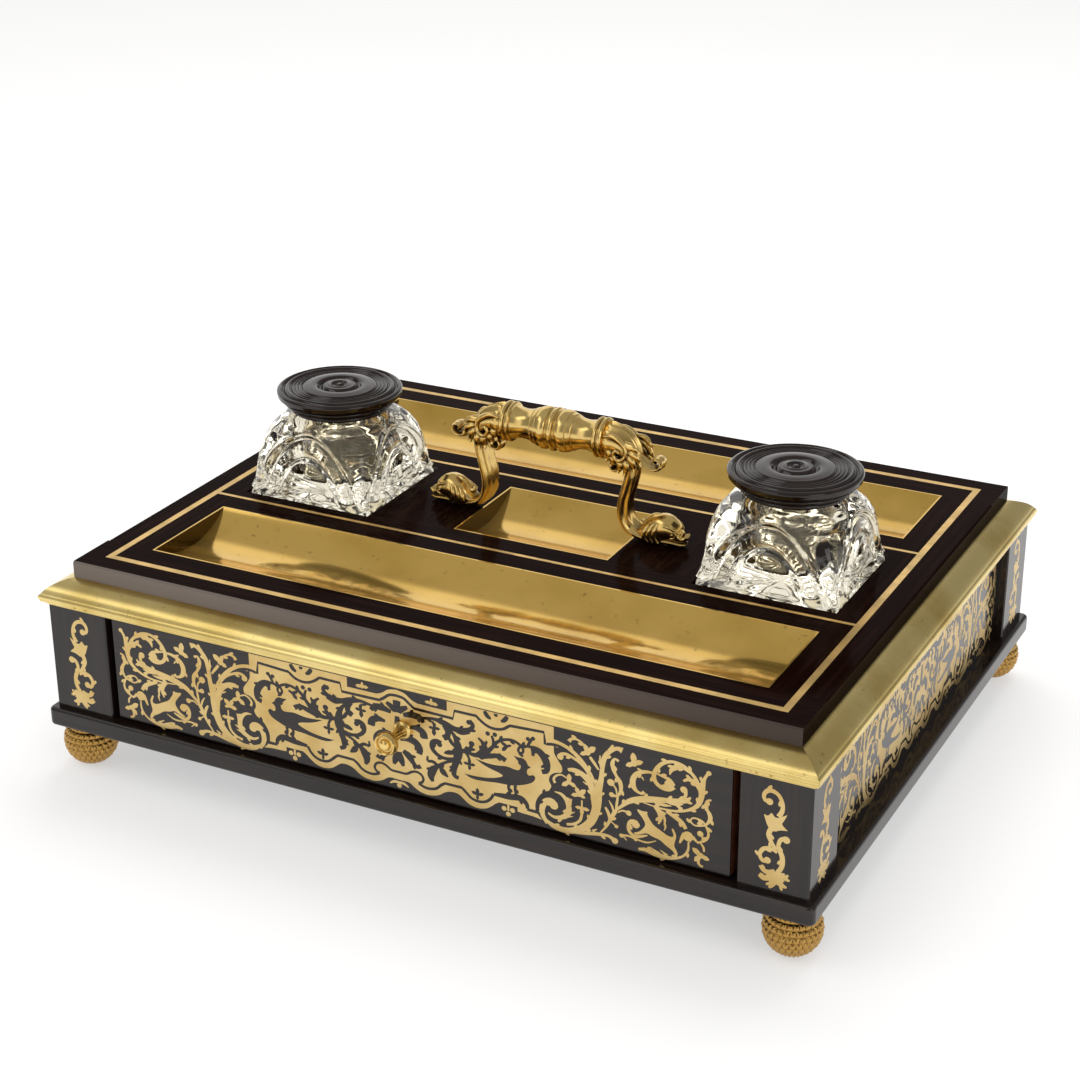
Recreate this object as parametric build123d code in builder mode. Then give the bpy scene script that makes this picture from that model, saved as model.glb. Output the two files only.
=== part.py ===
"""Desk compendium: an inkstand on ball feet with a drawer, three brass troughs,
two cut-glass inkwells and a carrying handle. Millimetres, +Z up, the drawer faces -Y.
The origin lies on the floor, in the middle of the overall box."""
import os
from math import sqrt

from build123d import *

os.makedirs("parts", exist_ok=True)

# Cap: the raised ebony top, in plan
cap_length = 350.0
cap_depth = 273.2
cap_arris = 0.8

# Ball feet
foot_radius = 12.8
foot_floor_flat = 3.2
foot_seat = 8.4
foot_inset = 9.6
foot_stud_radius = 2.4
foot_stud_in_ball = 10.0
foot_stud_in_plinth = 7.0

# Plinth
plinth_overhang = 12.5
plinth_thickness = 9.0
plinth_corner = 3.0
plinth_arris = 1.6

# Corner posts and the panels between them
post_overhang = 9.0
post_size = 31.0
post_height = 52.0
post_arris = 0.6
panel_recess = 4.5
panel_thickness = 9.0
marquetry_thickness = 1.0

# Top board and the rails planted on it
board_thickness = 9.0
liner_thickness = 0.8
trough_depth = 9.3
trough_width = 56.5
trough_clearance = 0.2
tray_from_end = 24.7
tray_from_side = 54.4
well_length = 79.0

# Brass moulding under the cap
moulding_width = 12.0
moulding_height = 11.5
moulding_flat = 1.4
moulding_bulge = 1.3
moulding_nose = 4.0
moulding_fillet = 1.6
moulding_undercut = 2.6
pin_radius = 0.6
pin_height = 2.6
pin_in_board = 6.0
pin_shy = 0.2
pin_from_mitre = 8.0
pin_pitch = 6.0

# Brass stringing let into the cap
stringing_depth = 0.8
border_inset = 10.3
border_width = 3.2
cross_line_from_centre = 41.0
cross_line_width = 2.0

# Inkwells: cut glass on a square foot
inkwell_base = 67.0
inkwell_clearance = 0.4
bed_depth = 1.5
glass_foot_height = 2.6
glass_foot_corner = 2.0
glass_waist = 60.5
glass_waist_height = 7.5
glass_waist_corner = 12.0
glass_belly = 63.0
glass_belly_height = 21.0
glass_belly_corner = 22.0
glass_shoulder = 57.0
glass_shoulder_height = 32.0
glass_shoulder_corner = 24.0
glass_top = 47.0
glass_top_height = 39.5
glass_top_corner = 23.0
neck_radius = 15.0
neck_height = 4.0
neck_bore = 11.0
reservoir_radius = 20.0
reservoir_floor = 8.0
reservoir_height = 21.0
reservoir_neck_drop = 3.5
section_flat = 0.8

# Turned lids
lid_collar_radius = 23.0
lid_collar_height = 3.0
lid_band_radius = 25.8
lid_band_height = 2.0
lid_rim_radius = 30.0
lid_rim_thickness = 7.0
lid_rim_round = 3.2
lid_dish_radius = 25.0
lid_dish_depth = 2.6
lid_boss_radius = 11.0
lid_boss_height = 1.8
lid_knop_radius = 5.0
lid_knop_height = 0.7
lid_ring_count = 3
lid_ring_outer = 22.5
lid_ring_pitch = 2.4
lid_ring_width = 1.2
lid_ring_height = 0.5
lid_hollow_depth = 7.5
lid_neck_clearance = 0.5

# Handle along the middle of the cap
grip_height = 46.5
grip_half_length = 26.0
grip_collar_radius = 9.5
grip_collar_width = 3.0
grip_neck_radius = 6.8
grip_swell_radius = 9.0
grip_bead_radius = 10.3
grip_bead_width = 4.2
grip_spigot_radius = 3.0
grip_spigot_length = 5.0
leg_thickness = 4.0
leg_width = 11.0
leg_top_x = 38.5
leg_waist_x = 36.0
leg_waist_height = 17.0
leg_toe_x = 40.5
elbow_radius = 7.4
elbow_bend = 9.0
leg_bend = 12.0
toe_bend = 5.0
elbow_drop = 12.0
leaf_reach = 53.5
leaf_height = 37.5
leaf_thickness = 4.0
leaf_root = 6.0
leaf_width = 10.0
terminal_x = 55.5
terminal_radius = 7.6
terminal_seat_depth = 0.5
terminal_width = 12.5
beak_reach = 66.3
beak_height = 3.4
beak_radius = 2.2
stud_radius = 2.0
stud_in_terminal = 6.0
nut_across_flats = 7.0
nut_thickness = 3.2
stud_past_nut = 1.0
metal_fit = 0.05

# Drawer
drawer_recess = 1.2
drawer_front_gap = 3.3
drawer_foot_gap = 1.8
drawer_side_clearance = 0.6
drawer_floor_clearance = 0.3
drawer_top_clearance = 0.8
drawer_back_gap = 6.0
drawer_front_thickness = 10.0
drawer_side_thickness = 7.0
drawer_side_height = 45.0
drawer_bottom_lift = 4.0
drawer_bottom_thickness = 4.0
guide_height = 14.0
stop_length = 30.0
stop_depth = 8.0
stop_height = 3.0
stop_clearance = 0.3
stop_from_centre = 100.0

# Drawer knob
knob_above_plinth = 32.0
knob_reach = 17.0
knob_flange_radius = 4.3
knob_flange_thickness = 1.6
knob_neck_radius = 2.8
knob_head_radius = 5.3
knob_head_thickness = 4.4
knob_head_round = 1.4
knob_boss_radius = 2.4
knob_boss_height = 1.0
screw_radius = 1.5
screw_in_knob = 7.0
screw_head_radius = 3.4
screw_head_thickness = 1.8

# Levels, from the floor up
foot_centre = sqrt(foot_radius**2 - foot_floor_flat**2)
plinth_bottom = foot_centre + sqrt(foot_radius**2 - foot_seat**2)
plinth_top = plinth_bottom + plinth_thickness
post_top = plinth_top + post_height
board_top = post_top + board_thickness
rail_height = trough_depth + liner_thickness
cap_top = board_top + rail_height
bed_top = cap_top - bed_depth
lid_seat = bed_top + glass_top_height
knob_level = plinth_top + knob_above_plinth

# Half sizes in plan, from the middle of the case
cap_x = cap_length / 2
cap_y = cap_depth / 2
post_x = cap_x + post_overhang
post_y = cap_y + post_overhang
inner_x = post_x - post_size
inner_y = post_y - post_size
face_x = post_x - panel_recess
face_y = post_y - panel_recess
tray_length = cap_length - 2 * tray_from_end
tray_from_centre = cap_y - tray_from_side
tray_x = tray_length / 2 + trough_clearance
trough_half = trough_width / 2 + trough_clearance
well_x = well_length / 2 + trough_clearance
bed_half = inkwell_base / 2 + inkwell_clearance
inkwell_x = tray_x - bed_half
bed_inner_x = inkwell_x - bed_half
case_back = cap_y + max(plinth_overhang, moulding_width)
drawer_face = drawer_recess - post_y
drawer_half = inner_x - drawer_front_gap

# The knob stands out in front, so the case sits this far behind the middle of the box
case_y = (knob_reach - drawer_face - case_back) / 2

SIDES = {"left": -1, "right": 1}
ENDS = {"front": -1, "back": 1}
UP = (0, 0, 1)


def level(z, x=0, y=0):
    """Horizontal plane at height z, its origin (x, y) from the middle of the case."""
    return Plane((x, case_y + y, z), x_dir=(1, 0, 0), z_dir=UP)


def upright(x, y, z):
    """Vertical plane through a point, local x along +X and local y up."""
    return Plane((x, case_y + y, z), x_dir=(1, 0, 0), z_dir=(0, -1, 0))


def cross_section(y, z):
    """Vertical plane across X, local x along +Y and local y up."""
    return Plane((0, case_y + y, z), x_dir=(0, 1, 0), z_dir=(1, 0, 0))


def export_piece(piece, label):
    """Name a finished piece and write it."""
    piece.part.label = label
    export_step(piece.part, f"parts/{label}.step")


def block(x_range, y_range, z_range, mode=Mode.ADD):
    """Block in the open part between two values on each axis, from the case's middle."""
    x_low, x_high = sorted(x_range)
    y_low, y_high = sorted(y_range)
    z_low, z_high = z_range
    with BuildSketch(level(z_low, (x_low + x_high) / 2, (y_low + y_high) / 2)) as outline:
        Rectangle(x_high - x_low, y_high - y_low)
    extrude(outline.sketch, amount=z_high - z_low, mode=mode)


def post_centres():
    """Name and plan position of each corner, at the middle of its post."""
    for end, y_sign in ENDS.items():
        for side, x_sign in SIDES.items():
            yield f"{end}_{side}", x_sign * (post_x - post_size / 2), y_sign * (post_y - post_size / 2)


def foot_centres():
    """Name and plan position of each ball foot."""
    for end, y_sign in ENDS.items():
        for side, x_sign in SIDES.items():
            yield f"{end}_{side}", x_sign * (post_x - foot_inset), y_sign * (post_y - foot_inset)


# Ball feet: gilt brass balls, flat where they stand and where they seat under the plinth
def stud_set(radius):
    """Four upright studs from the balls into the plinth."""
    with BuildPart() as studs:
        for _, x, y in foot_centres():
            with BuildSketch(level(plinth_bottom - foot_stud_in_ball, x, y)):
                Circle(radius)
            extrude(amount=foot_stud_in_ball + foot_stud_in_plinth)
    return studs


foot_studs = stud_set(foot_stud_radius)
export_piece(foot_studs, "foot_studs")
foot_stud_holes = stud_set(foot_stud_radius + metal_fit).part

for corner, foot_x, foot_y in foot_centres():
    with BuildPart() as foot:
        with BuildSketch(upright(foot_x, foot_y, 0)):
            with Locations((0, foot_centre)):
                Circle(foot_radius)
            with Locations((foot_radius / 2, plinth_bottom / 2)):
                Rectangle(foot_radius, plinth_bottom, mode=Mode.INTERSECT)
        revolve(axis=Axis((foot_x, case_y + foot_y, 0), UP))
        add(foot_stud_holes, mode=Mode.SUBTRACT)
    export_piece(foot, f"foot_{corner}")


# Plinth: one ebonised board with softened arrises
with BuildPart() as plinth:
    with BuildSketch(level(plinth_bottom)):
        RectangleRounded(2 * (cap_x + plinth_overhang), 2 * (cap_y + plinth_overhang), plinth_corner)
    extrude(amount=plinth_thickness)
    fillet(plinth.faces().sort_by(Axis.Z)[-1].edges(), radius=plinth_arris)
    fillet(plinth.faces().sort_by(Axis.Z)[0].edges(), radius=plinth_arris)
    add(foot_stud_holes, mode=Mode.SUBTRACT)
export_piece(plinth, "plinth")


# Corner posts: square blocks that stand proud of the panels
for corner, centre_x, centre_y in post_centres():
    with BuildPart() as post:
        with BuildSketch(level(plinth_top, centre_x, centre_y)):
            Rectangle(post_size, post_size)
        extrude(amount=post_height)
        chamfer(post.edges().filter_by(Axis.Z), length=post_arris)
    export_piece(post, f"post_{corner}")


# Side and back panels, each with its sheet of brass and ebony marquetry
panel_levels = (plinth_top, post_top)
sheet_x = face_x - marquetry_thickness
sheet_y = face_y - marquetry_thickness
panel_inner_x = sheet_x - panel_thickness
panel_inner_y = sheet_y - panel_thickness

for side, sign in SIDES.items():
    with BuildPart() as panel:
        block((sign * panel_inner_x, sign * sheet_x), (-inner_y, inner_y), panel_levels)
    export_piece(panel, f"side_panel_{side}")

    with BuildPart() as sheet:
        block((sign * sheet_x, sign * face_x), (-inner_y, inner_y), panel_levels)
    export_piece(sheet, f"side_marquetry_{side}")

with BuildPart() as back_panel:
    block((-inner_x, inner_x), (panel_inner_y, sheet_y), panel_levels)
export_piece(back_panel, "back_panel")

with BuildPart() as back_marquetry:
    block((-inner_x, inner_x), (sheet_y, face_y), panel_levels)
export_piece(back_marquetry, "back_marquetry")


# Drawer guides along the side panels, and two stops on the plinth
for side, sign in SIDES.items():
    with BuildPart() as guide:
        guide_x = (sign * (drawer_half + drawer_side_clearance), sign * panel_inner_x)
        block(guide_x, (-inner_y, inner_y), (plinth_top, plinth_top + guide_height))
    export_piece(guide, f"drawer_guide_{side}")

drawer_sheet_back = drawer_face + marquetry_thickness
drawer_core_back = drawer_sheet_back + drawer_front_thickness
stop_front = drawer_core_back + stop_clearance
with BuildPart() as drawer_stops:
    for sign in SIDES.values():
        with BuildSketch(level(plinth_top, sign * stop_from_centre, stop_front + stop_depth / 2)):
            Rectangle(stop_length, stop_depth)
        extrude(amount=stop_height)
export_piece(drawer_stops, "drawer_stops")


# Moulding pins: brass pins driven through the nose of the moulding into the top board
def run_planes():
    """Each side of the cap: its name, plan plane with local y outward, half run, distance out."""
    centre = (0, case_y, post_top)
    yield "front", Plane(centre, x_dir=(-1, 0, 0), z_dir=UP), cap_x, cap_y
    yield "back", Plane(centre, x_dir=(1, 0, 0), z_dir=UP), cap_x, cap_y
    yield "left", Plane(centre, x_dir=(0, 1, 0), z_dir=UP), cap_y, cap_x
    yield "right", Plane(centre, x_dir=(0, -1, 0), z_dir=UP), cap_y, cap_x


def pin_set(radius):
    """All the moulding pins, two near each mitre on each of the four sides."""
    pin_length = pin_in_board + moulding_width - pin_shy
    with BuildPart() as pins:
        for _, plan, half_run, distance in run_planes():
            nearest = half_run - pin_from_mitre
            for place in (nearest, nearest - pin_pitch, pin_pitch - nearest, -nearest):
                start = plan.from_local_coords((place, distance - pin_in_board, pin_height))
                with BuildSketch(Plane(start, z_dir=plan.y_dir)):
                    Circle(radius)
                extrude(amount=pin_length)
    return pins


moulding_pins = pin_set(pin_radius)
export_piece(moulding_pins, "moulding_pins")
pin_holes = pin_set(pin_radius + metal_fit).part


# Brass moulding: four lengths of one section, mitred at the corners
for side, plan, half_run, distance in run_planes():
    section = Plane(plan.origin, x_dir=plan.y_dir, z_dir=plan.x_dir)
    outer = distance + moulding_width
    undercut = outer - moulding_undercut
    nose_top = moulding_fillet + moulding_nose
    slope_start = (distance + moulding_flat, moulding_height)
    slope_end = (outer, nose_top)
    slope_middle = (
        (slope_start[0] + slope_end[0]) / 2 + moulding_bulge,
        (slope_start[1] + slope_end[1]) / 2 + moulding_bulge,
    )
    with BuildPart() as moulding:
        with BuildSketch(plan):
            with BuildLine():
                Polyline(
                    (-half_run, distance),
                    (half_run, distance),
                    (half_run + moulding_width, outer),
                    (-half_run - moulding_width, outer),
                    close=True,
                )
            make_face()
        extrude(amount=moulding_height)
        with BuildSketch(section):
            with BuildLine():
                ThreePointArc(slope_start, slope_middle, slope_end)
                Polyline(
                    slope_end,
                    (outer, moulding_fillet),
                    (undercut, moulding_fillet),
                    (undercut, 0),
                    (distance, 0),
                    (distance, moulding_height),
                    slope_start,
                )
            make_face()
        extrude(amount=half_run + moulding_width, both=True, mode=Mode.INTERSECT)
        add(pin_holes, mode=Mode.SUBTRACT)
    export_piece(moulding, f"moulding_{side}")


# Handle studs and nuts, through the top board
def handle_stud_set(radius):
    """Two upright studs from the handle's feet down through the top."""
    stud_bottom = post_top - nut_thickness - stud_past_nut
    with BuildPart() as studs:
        for sign in SIDES.values():
            with BuildSketch(level(stud_bottom, sign * terminal_x)):
                Circle(radius)
            extrude(amount=cap_top + stud_in_terminal - stud_bottom)
    return studs


handle_studs = handle_stud_set(stud_radius)
export_piece(handle_studs, "handle_studs")
handle_stud_holes = handle_stud_set(stud_radius + metal_fit).part

with BuildPart() as handle_nuts:
    for sign in SIDES.values():
        with BuildSketch(level(post_top - nut_thickness, sign * terminal_x)):
            RegularPolygon(nut_across_flats / 2, 6, major_radius=False)
        extrude(amount=nut_thickness)
    add(handle_stud_holes, mode=Mode.SUBTRACT)
export_piece(handle_nuts, "handle_nuts")


# Top board: the carcase board under the cap
with BuildPart() as top_board:
    block((-cap_x, cap_x), (-cap_y, cap_y), (post_top, board_top))
    add(pin_holes, mode=Mode.SUBTRACT)
    add(handle_stud_holes, mode=Mode.SUBTRACT)
export_piece(top_board, "top_board")


# Brass stringing: one border frame and two cross lines, flush with the cap
string_bottom = cap_top - stringing_depth
border_x = cap_x - border_inset
border_y = cap_y - border_inset
with BuildPart() as border_stringing:
    with BuildSketch(level(string_bottom)):
        Rectangle(2 * border_x, 2 * border_y)
        Rectangle(2 * (border_x - border_width), 2 * (border_y - border_width), mode=Mode.SUBTRACT)
    extrude(amount=stringing_depth)
export_piece(border_stringing, "border_stringing")

grooves = [border_stringing.part]
for end, sign in ENDS.items():
    with BuildPart() as cross_line:
        with BuildSketch(level(string_bottom, 0, sign * cross_line_from_centre)):
            Rectangle(2 * (border_x - border_width), cross_line_width)
        extrude(amount=stringing_depth)
    export_piece(cross_line, f"cross_line_{end}")
    grooves.append(cross_line.part)


# Cap rails: ebony rails planted on the top board, which frame the troughs
rail_levels = (board_top, cap_top)
tray_outer = tray_from_centre + trough_half
tray_inner = tray_from_centre - trough_half

for end, sign in ENDS.items():
    with BuildPart() as long_rail:
        block((-cap_x, cap_x), (sign * tray_outer, sign * cap_y), rail_levels)
        outer_face = long_rail.faces().sort_by(Axis.Y)[0 if sign < 0 else -1]
        chamfer(outer_face.edges().sort_by(Axis.Z)[-1], length=cap_arris)
        add(grooves, mode=Mode.SUBTRACT)
    export_piece(long_rail, f"cap_rail_{end}")

for side, sign in SIDES.items():
    with BuildPart() as end_rail:
        block((sign * tray_x, sign * cap_x), (-tray_outer, tray_outer), rail_levels)
        outer_face = end_rail.faces().sort_by(Axis.X)[0 if sign < 0 else -1]
        chamfer(outer_face.edges().sort_by(Axis.Z)[-1], length=cap_arris)
        add(grooves, mode=Mode.SUBTRACT)
    export_piece(end_rail, f"cap_rail_{side}")

for end, sign in ENDS.items():
    with BuildPart() as cross_rail:
        block((-tray_x, tray_x), (sign * trough_half, sign * tray_inner), rail_levels)
        for x_sign in SIDES.values():
            bed_x = (x_sign * bed_inner_x, x_sign * tray_x)
            block(bed_x, (-bed_half, bed_half), rail_levels, mode=Mode.SUBTRACT)
        add(grooves, mode=Mode.SUBTRACT)
    export_piece(cross_rail, f"cross_rail_{end}")

for side, sign in SIDES.items():
    with BuildPart() as centre_block:
        block((sign * well_x, sign * bed_inner_x), (-trough_half, trough_half), rail_levels)
        add(handle_stud_holes, mode=Mode.SUBTRACT)
    export_piece(centre_block, f"centre_block_{side}")

    with BuildPart() as inkwell_bed:
        bed_x = (sign * bed_inner_x, sign * tray_x)
        block(bed_x, (-bed_half, bed_half), (board_top, bed_top))
    export_piece(inkwell_bed, f"inkwell_bed_{side}")


# Troughs: thin brass with a circular section and flat end walls
def trough_segment(half_width, depth, length, y):
    """Solid segment of a cylinder along X, flat on top at the cap's surface."""
    with BuildPart() as segment:
        with BuildSketch(cross_section(y, cap_top)):
            with BuildLine():
                ThreePointArc((-half_width, 0), (0, -depth), (half_width, 0))
                Line((half_width, 0), (-half_width, 0))
            make_face()
        extrude(amount=length / 2, both=True)
    return segment.part


troughs = {
    "pen_tray_front": (-tray_from_centre, tray_length),
    "pen_tray_back": (tray_from_centre, tray_length),
    "central_well": (0, well_length),
}
for label, (trough_y, length) in troughs.items():
    outer_half = trough_width / 2
    inner_half = outer_half - liner_thickness
    inner_length = length - 2 * liner_thickness
    shell = trough_segment(outer_half, trough_depth + liner_thickness, length, trough_y)
    hollow = trough_segment(inner_half, trough_depth, inner_length, trough_y)
    with BuildPart() as trough:
        add(shell)
        add(hollow, mode=Mode.SUBTRACT)
    export_piece(trough, label)


# Handle grip: a turned brass baluster with a spigot at each end
def turned_ring(centre_x, width, radius):
    """Half section of a rounded ring, standing on the turning axis."""
    with Locations((centre_x, 0)):
        Rectangle(width, radius - width / 2, align=(Align.CENTER, Align.MIN))
    with Locations((centre_x, radius - width / 2)):
        Circle(width / 2)


grip_level = cap_top + grip_height
collar_start = grip_half_length - grip_collar_width
with BuildPart() as handle_grip:
    with BuildSketch(upright(0, 0, grip_level)):
        swell_middle = (grip_bead_width + collar_start) / 2
        with BuildLine():
            ThreePointArc(
                (grip_bead_width, grip_swell_radius),
                (swell_middle, grip_swell_radius),
                (collar_start, grip_neck_radius),
            )
            Polyline(
                (collar_start, grip_neck_radius),
                (collar_start, 0),
                (grip_bead_width, 0),
                (grip_bead_width, grip_swell_radius),
            )
        make_face()
        turned_ring(grip_bead_width / 2, grip_bead_width, grip_bead_radius)
        turned_ring((collar_start + grip_half_length) / 2, grip_collar_width, grip_collar_radius)
        spigot_middle = grip_half_length + grip_spigot_length / 2
        with Locations((spigot_middle, grip_spigot_radius / 2)):
            Rectangle(grip_spigot_length, grip_spigot_radius)
        mirror(about=Plane.YZ)
    revolve(axis=Axis((0, case_y, grip_level), (1, 0, 0)))
export_piece(handle_grip, "handle_grip")


# Handle legs: cast brass, each an elbow, an acanthus leaf, a strap and a beaked foot
def leg_strap(sign):
    """Flat strap from the grip, round the elbow and in at the waist, out to the foot."""
    with BuildPart() as strap:
        with BuildLine(upright(0, 0, cap_top)):
            FilletPolyline(
                (sign * grip_half_length, grip_height),
                (sign * leg_top_x, grip_height),
                (sign * leg_waist_x, leg_waist_height),
                (sign * leg_toe_x, leg_thickness / 2),
                (sign * terminal_x, leg_thickness / 2),
                radius=[elbow_bend, leg_bend, toe_bend],
            )
        start = (sign * grip_half_length, case_y, grip_level)
        with BuildSketch(Plane(start, x_dir=(0, 1, 0), z_dir=(sign, 0, 0))):
            Rectangle(leg_width, leg_thickness)
        sweep()
    return strap.part


def leg_elbow(sign):
    """Round elbow that takes the grip's spigot."""
    with BuildPart() as elbow:
        with BuildLine(upright(0, 0, cap_top)):
            FilletPolyline(
                (sign * grip_half_length, grip_height),
                (sign * leg_top_x, grip_height),
                (sign * leg_top_x, grip_height - elbow_drop),
                radius=elbow_bend,
            )
        start = (sign * grip_half_length, case_y, grip_level)
        with BuildSketch(Plane(start, x_dir=(0, 1, 0), z_dir=(sign, 0, 0))):
            Circle(elbow_radius)
        sweep()
    return elbow.part


def leg_leaf(sign):
    """Leaf that springs outward from the elbow."""
    with BuildPart() as leaf:
        with BuildSketch(upright(0, 0, cap_top)):
            with BuildLine():
                Polyline(
                    (sign * leg_top_x, leaf_height + leaf_root),
                    (sign * leaf_reach, leaf_height + leaf_thickness / 2),
                    (sign * leaf_reach, leaf_height - leaf_thickness / 2),
                    (sign * leg_top_x, leaf_height - leaf_thickness / 2),
                    close=True,
                )
            make_face()
        extrude(amount=leaf_width / 2, both=True)
    return leaf.part


def leg_foot(sign):
    """Beaked foot, a round head that tapers to a snout, flat where it seats on the cap."""
    head_height = terminal_radius - terminal_seat_depth
    with BuildPart() as toe:
        with BuildSketch(upright(0, 0, cap_top)):
            with Locations((sign * terminal_x, head_height)):
                Circle(terminal_radius)
            with Locations((sign * (beak_reach - beak_radius), beak_height)):
                Circle(beak_radius)
            make_hull()
            with Locations((sign * terminal_x, terminal_radius)):
                Rectangle(2 * beak_reach, 2 * terminal_radius, mode=Mode.INTERSECT)
        extrude(amount=terminal_width / 2, both=True)
    return toe.part


for side, sign in SIDES.items():
    casting = [leg_strap(sign), leg_elbow(sign), leg_leaf(sign), leg_foot(sign)]
    with BuildPart() as handle_leg:
        add(casting)
        spigot_start = (sign * grip_half_length, case_y, grip_level)
        with BuildSketch(Plane(spigot_start, z_dir=(sign, 0, 0))):
            Circle(grip_spigot_radius + metal_fit)
        extrude(amount=grip_spigot_length, mode=Mode.SUBTRACT)
        add(handle_stud_holes, mode=Mode.SUBTRACT)
    export_piece(handle_leg, f"handle_leg_{side}")


# Inkwells: thick cut glass, a square foot that swells to a round shoulder and neck
glass_sections = [
    (0, inkwell_base, glass_foot_corner),
    (glass_foot_height, inkwell_base, glass_foot_corner),
    (glass_waist_height, glass_waist, glass_waist_corner),
    (glass_belly_height, glass_belly, glass_belly_corner),
    (glass_shoulder_height, glass_shoulder, glass_shoulder_corner),
    (glass_top_height, glass_top, glass_top_corner),
]
glass_rim_height = glass_top_height + neck_height
for side, sign in SIDES.items():
    with BuildPart() as inkwell:
        for height, width, corner in glass_sections:
            with BuildSketch(level(bed_top + height, sign * inkwell_x)):
                RectangleRounded(width, width, min(corner, (width - section_flat) / 2))
        loft(ruled=True)
        with BuildSketch(level(bed_top + glass_top_height, sign * inkwell_x)):
            Circle(neck_radius)
        extrude(amount=neck_height)
        with BuildSketch(upright(sign * inkwell_x, 0, bed_top)):
            with BuildLine():
                Polyline(
                    (0, reservoir_floor),
                    (reservoir_radius, reservoir_floor),
                    (reservoir_radius, reservoir_floor + reservoir_height),
                    (neck_bore, glass_top_height - reservoir_neck_drop),
                    (neck_bore, glass_rim_height),
                    (0, glass_rim_height),
                    close=True,
                )
            make_face()
        revolve(axis=Axis((sign * inkwell_x, case_y, 0), UP), mode=Mode.SUBTRACT)
    export_piece(inkwell, f"inkwell_{side}")


# Lids: turned ebony caps with a rounded rim, a ringed dish and a low boss
for side, sign in SIDES.items():
    with BuildPart() as lid:
        rim_bottom = lid_collar_height + lid_band_height
        lid_height = rim_bottom + lid_rim_thickness
        dish_floor = lid_height - lid_dish_depth
        with BuildSketch(upright(sign * inkwell_x, 0, lid_seat)):
            with BuildSketch(Plane.XY, mode=Mode.PRIVATE) as rim:
                with Locations((0, rim_bottom)):
                    Rectangle(lid_rim_radius, lid_rim_thickness, align=Align.MIN)
                fillet(rim.vertices().sort_by(Axis.X)[-2:], radius=lid_rim_round)
            add(rim.sketch)
            Rectangle(lid_collar_radius, lid_collar_height, align=Align.MIN)
            with Locations((0, lid_collar_height)):
                Rectangle(lid_band_radius, lid_band_height, align=Align.MIN)
            with Locations((0, dish_floor)):
                Rectangle(lid_dish_radius, lid_dish_depth, align=Align.MIN, mode=Mode.SUBTRACT)
                Rectangle(lid_boss_radius, lid_boss_height, align=Align.MIN)
            with Locations((0, dish_floor + lid_boss_height)):
                Rectangle(lid_knop_radius, lid_knop_height, align=Align.MIN)
            for ring in range(lid_ring_count):
                ring_inner = lid_ring_outer - ring * lid_ring_pitch - lid_ring_width
                with Locations((ring_inner, dish_floor)):
                    Rectangle(lid_ring_width, lid_ring_height, align=Align.MIN)
            hollow_radius = neck_radius + lid_neck_clearance
            Rectangle(hollow_radius, lid_hollow_depth, align=Align.MIN, mode=Mode.SUBTRACT)
        revolve(axis=Axis((sign * inkwell_x, case_y, 0), UP))
    export_piece(lid, f"lid_{side}")


# Drawer: marquetry sheet, front, sides, back and bottom
drawer_floor = plinth_top + drawer_floor_clearance
front_levels = (plinth_top + drawer_foot_gap, post_top - drawer_top_clearance)
side_top = drawer_floor + drawer_side_height
bottom_low = drawer_floor + drawer_bottom_lift
bottom_high = bottom_low + drawer_bottom_thickness
drawer_back_y = panel_inner_y - drawer_back_gap
drawer_inner_x = drawer_half - drawer_side_thickness


def knob_screw_solid(fit):
    """Countersunk screw through the drawer front into the knob, grown by a fit."""
    length = drawer_core_back - drawer_face + screw_in_knob
    head_plane = Plane((0, case_y + drawer_core_back, knob_level), z_dir=(0, -1, 0))
    with BuildPart() as screw:
        with BuildSketch(head_plane):
            Circle(screw_head_radius + fit)
        with BuildSketch(head_plane.offset(screw_head_thickness)):
            Circle(screw_radius + fit)
        loft()
        with BuildSketch(head_plane):
            Circle(screw_radius + fit)
        extrude(amount=length)
    return screw


knob_screw = knob_screw_solid(0)
export_piece(knob_screw, "knob_screw")
knob_screw_hole = knob_screw_solid(metal_fit).part

with BuildPart() as drawer_marquetry:
    block((-drawer_half, drawer_half), (drawer_face, drawer_sheet_back), front_levels)
    add(knob_screw_hole, mode=Mode.SUBTRACT)
export_piece(drawer_marquetry, "drawer_marquetry")

with BuildPart() as drawer_front:
    block((-drawer_half, drawer_half), (drawer_sheet_back, drawer_core_back), front_levels)
    add(knob_screw_hole, mode=Mode.SUBTRACT)
export_piece(drawer_front, "drawer_front")

for side, sign in SIDES.items():
    with BuildPart() as drawer_side:
        side_x = (sign * drawer_inner_x, sign * drawer_half)
        block(side_x, (drawer_core_back, drawer_back_y), (drawer_floor, side_top))
    export_piece(drawer_side, f"drawer_side_{side}")

with BuildPart() as drawer_bottom:
    between_sides = (-drawer_inner_x, drawer_inner_x)
    block(between_sides, (drawer_core_back, drawer_back_y), (bottom_low, bottom_high))
export_piece(drawer_bottom, "drawer_bottom")

with BuildPart() as drawer_back:
    back_y = (drawer_back_y - drawer_side_thickness, drawer_back_y)
    block(between_sides, back_y, (bottom_high, side_top))
export_piece(drawer_back, "drawer_back")


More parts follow.
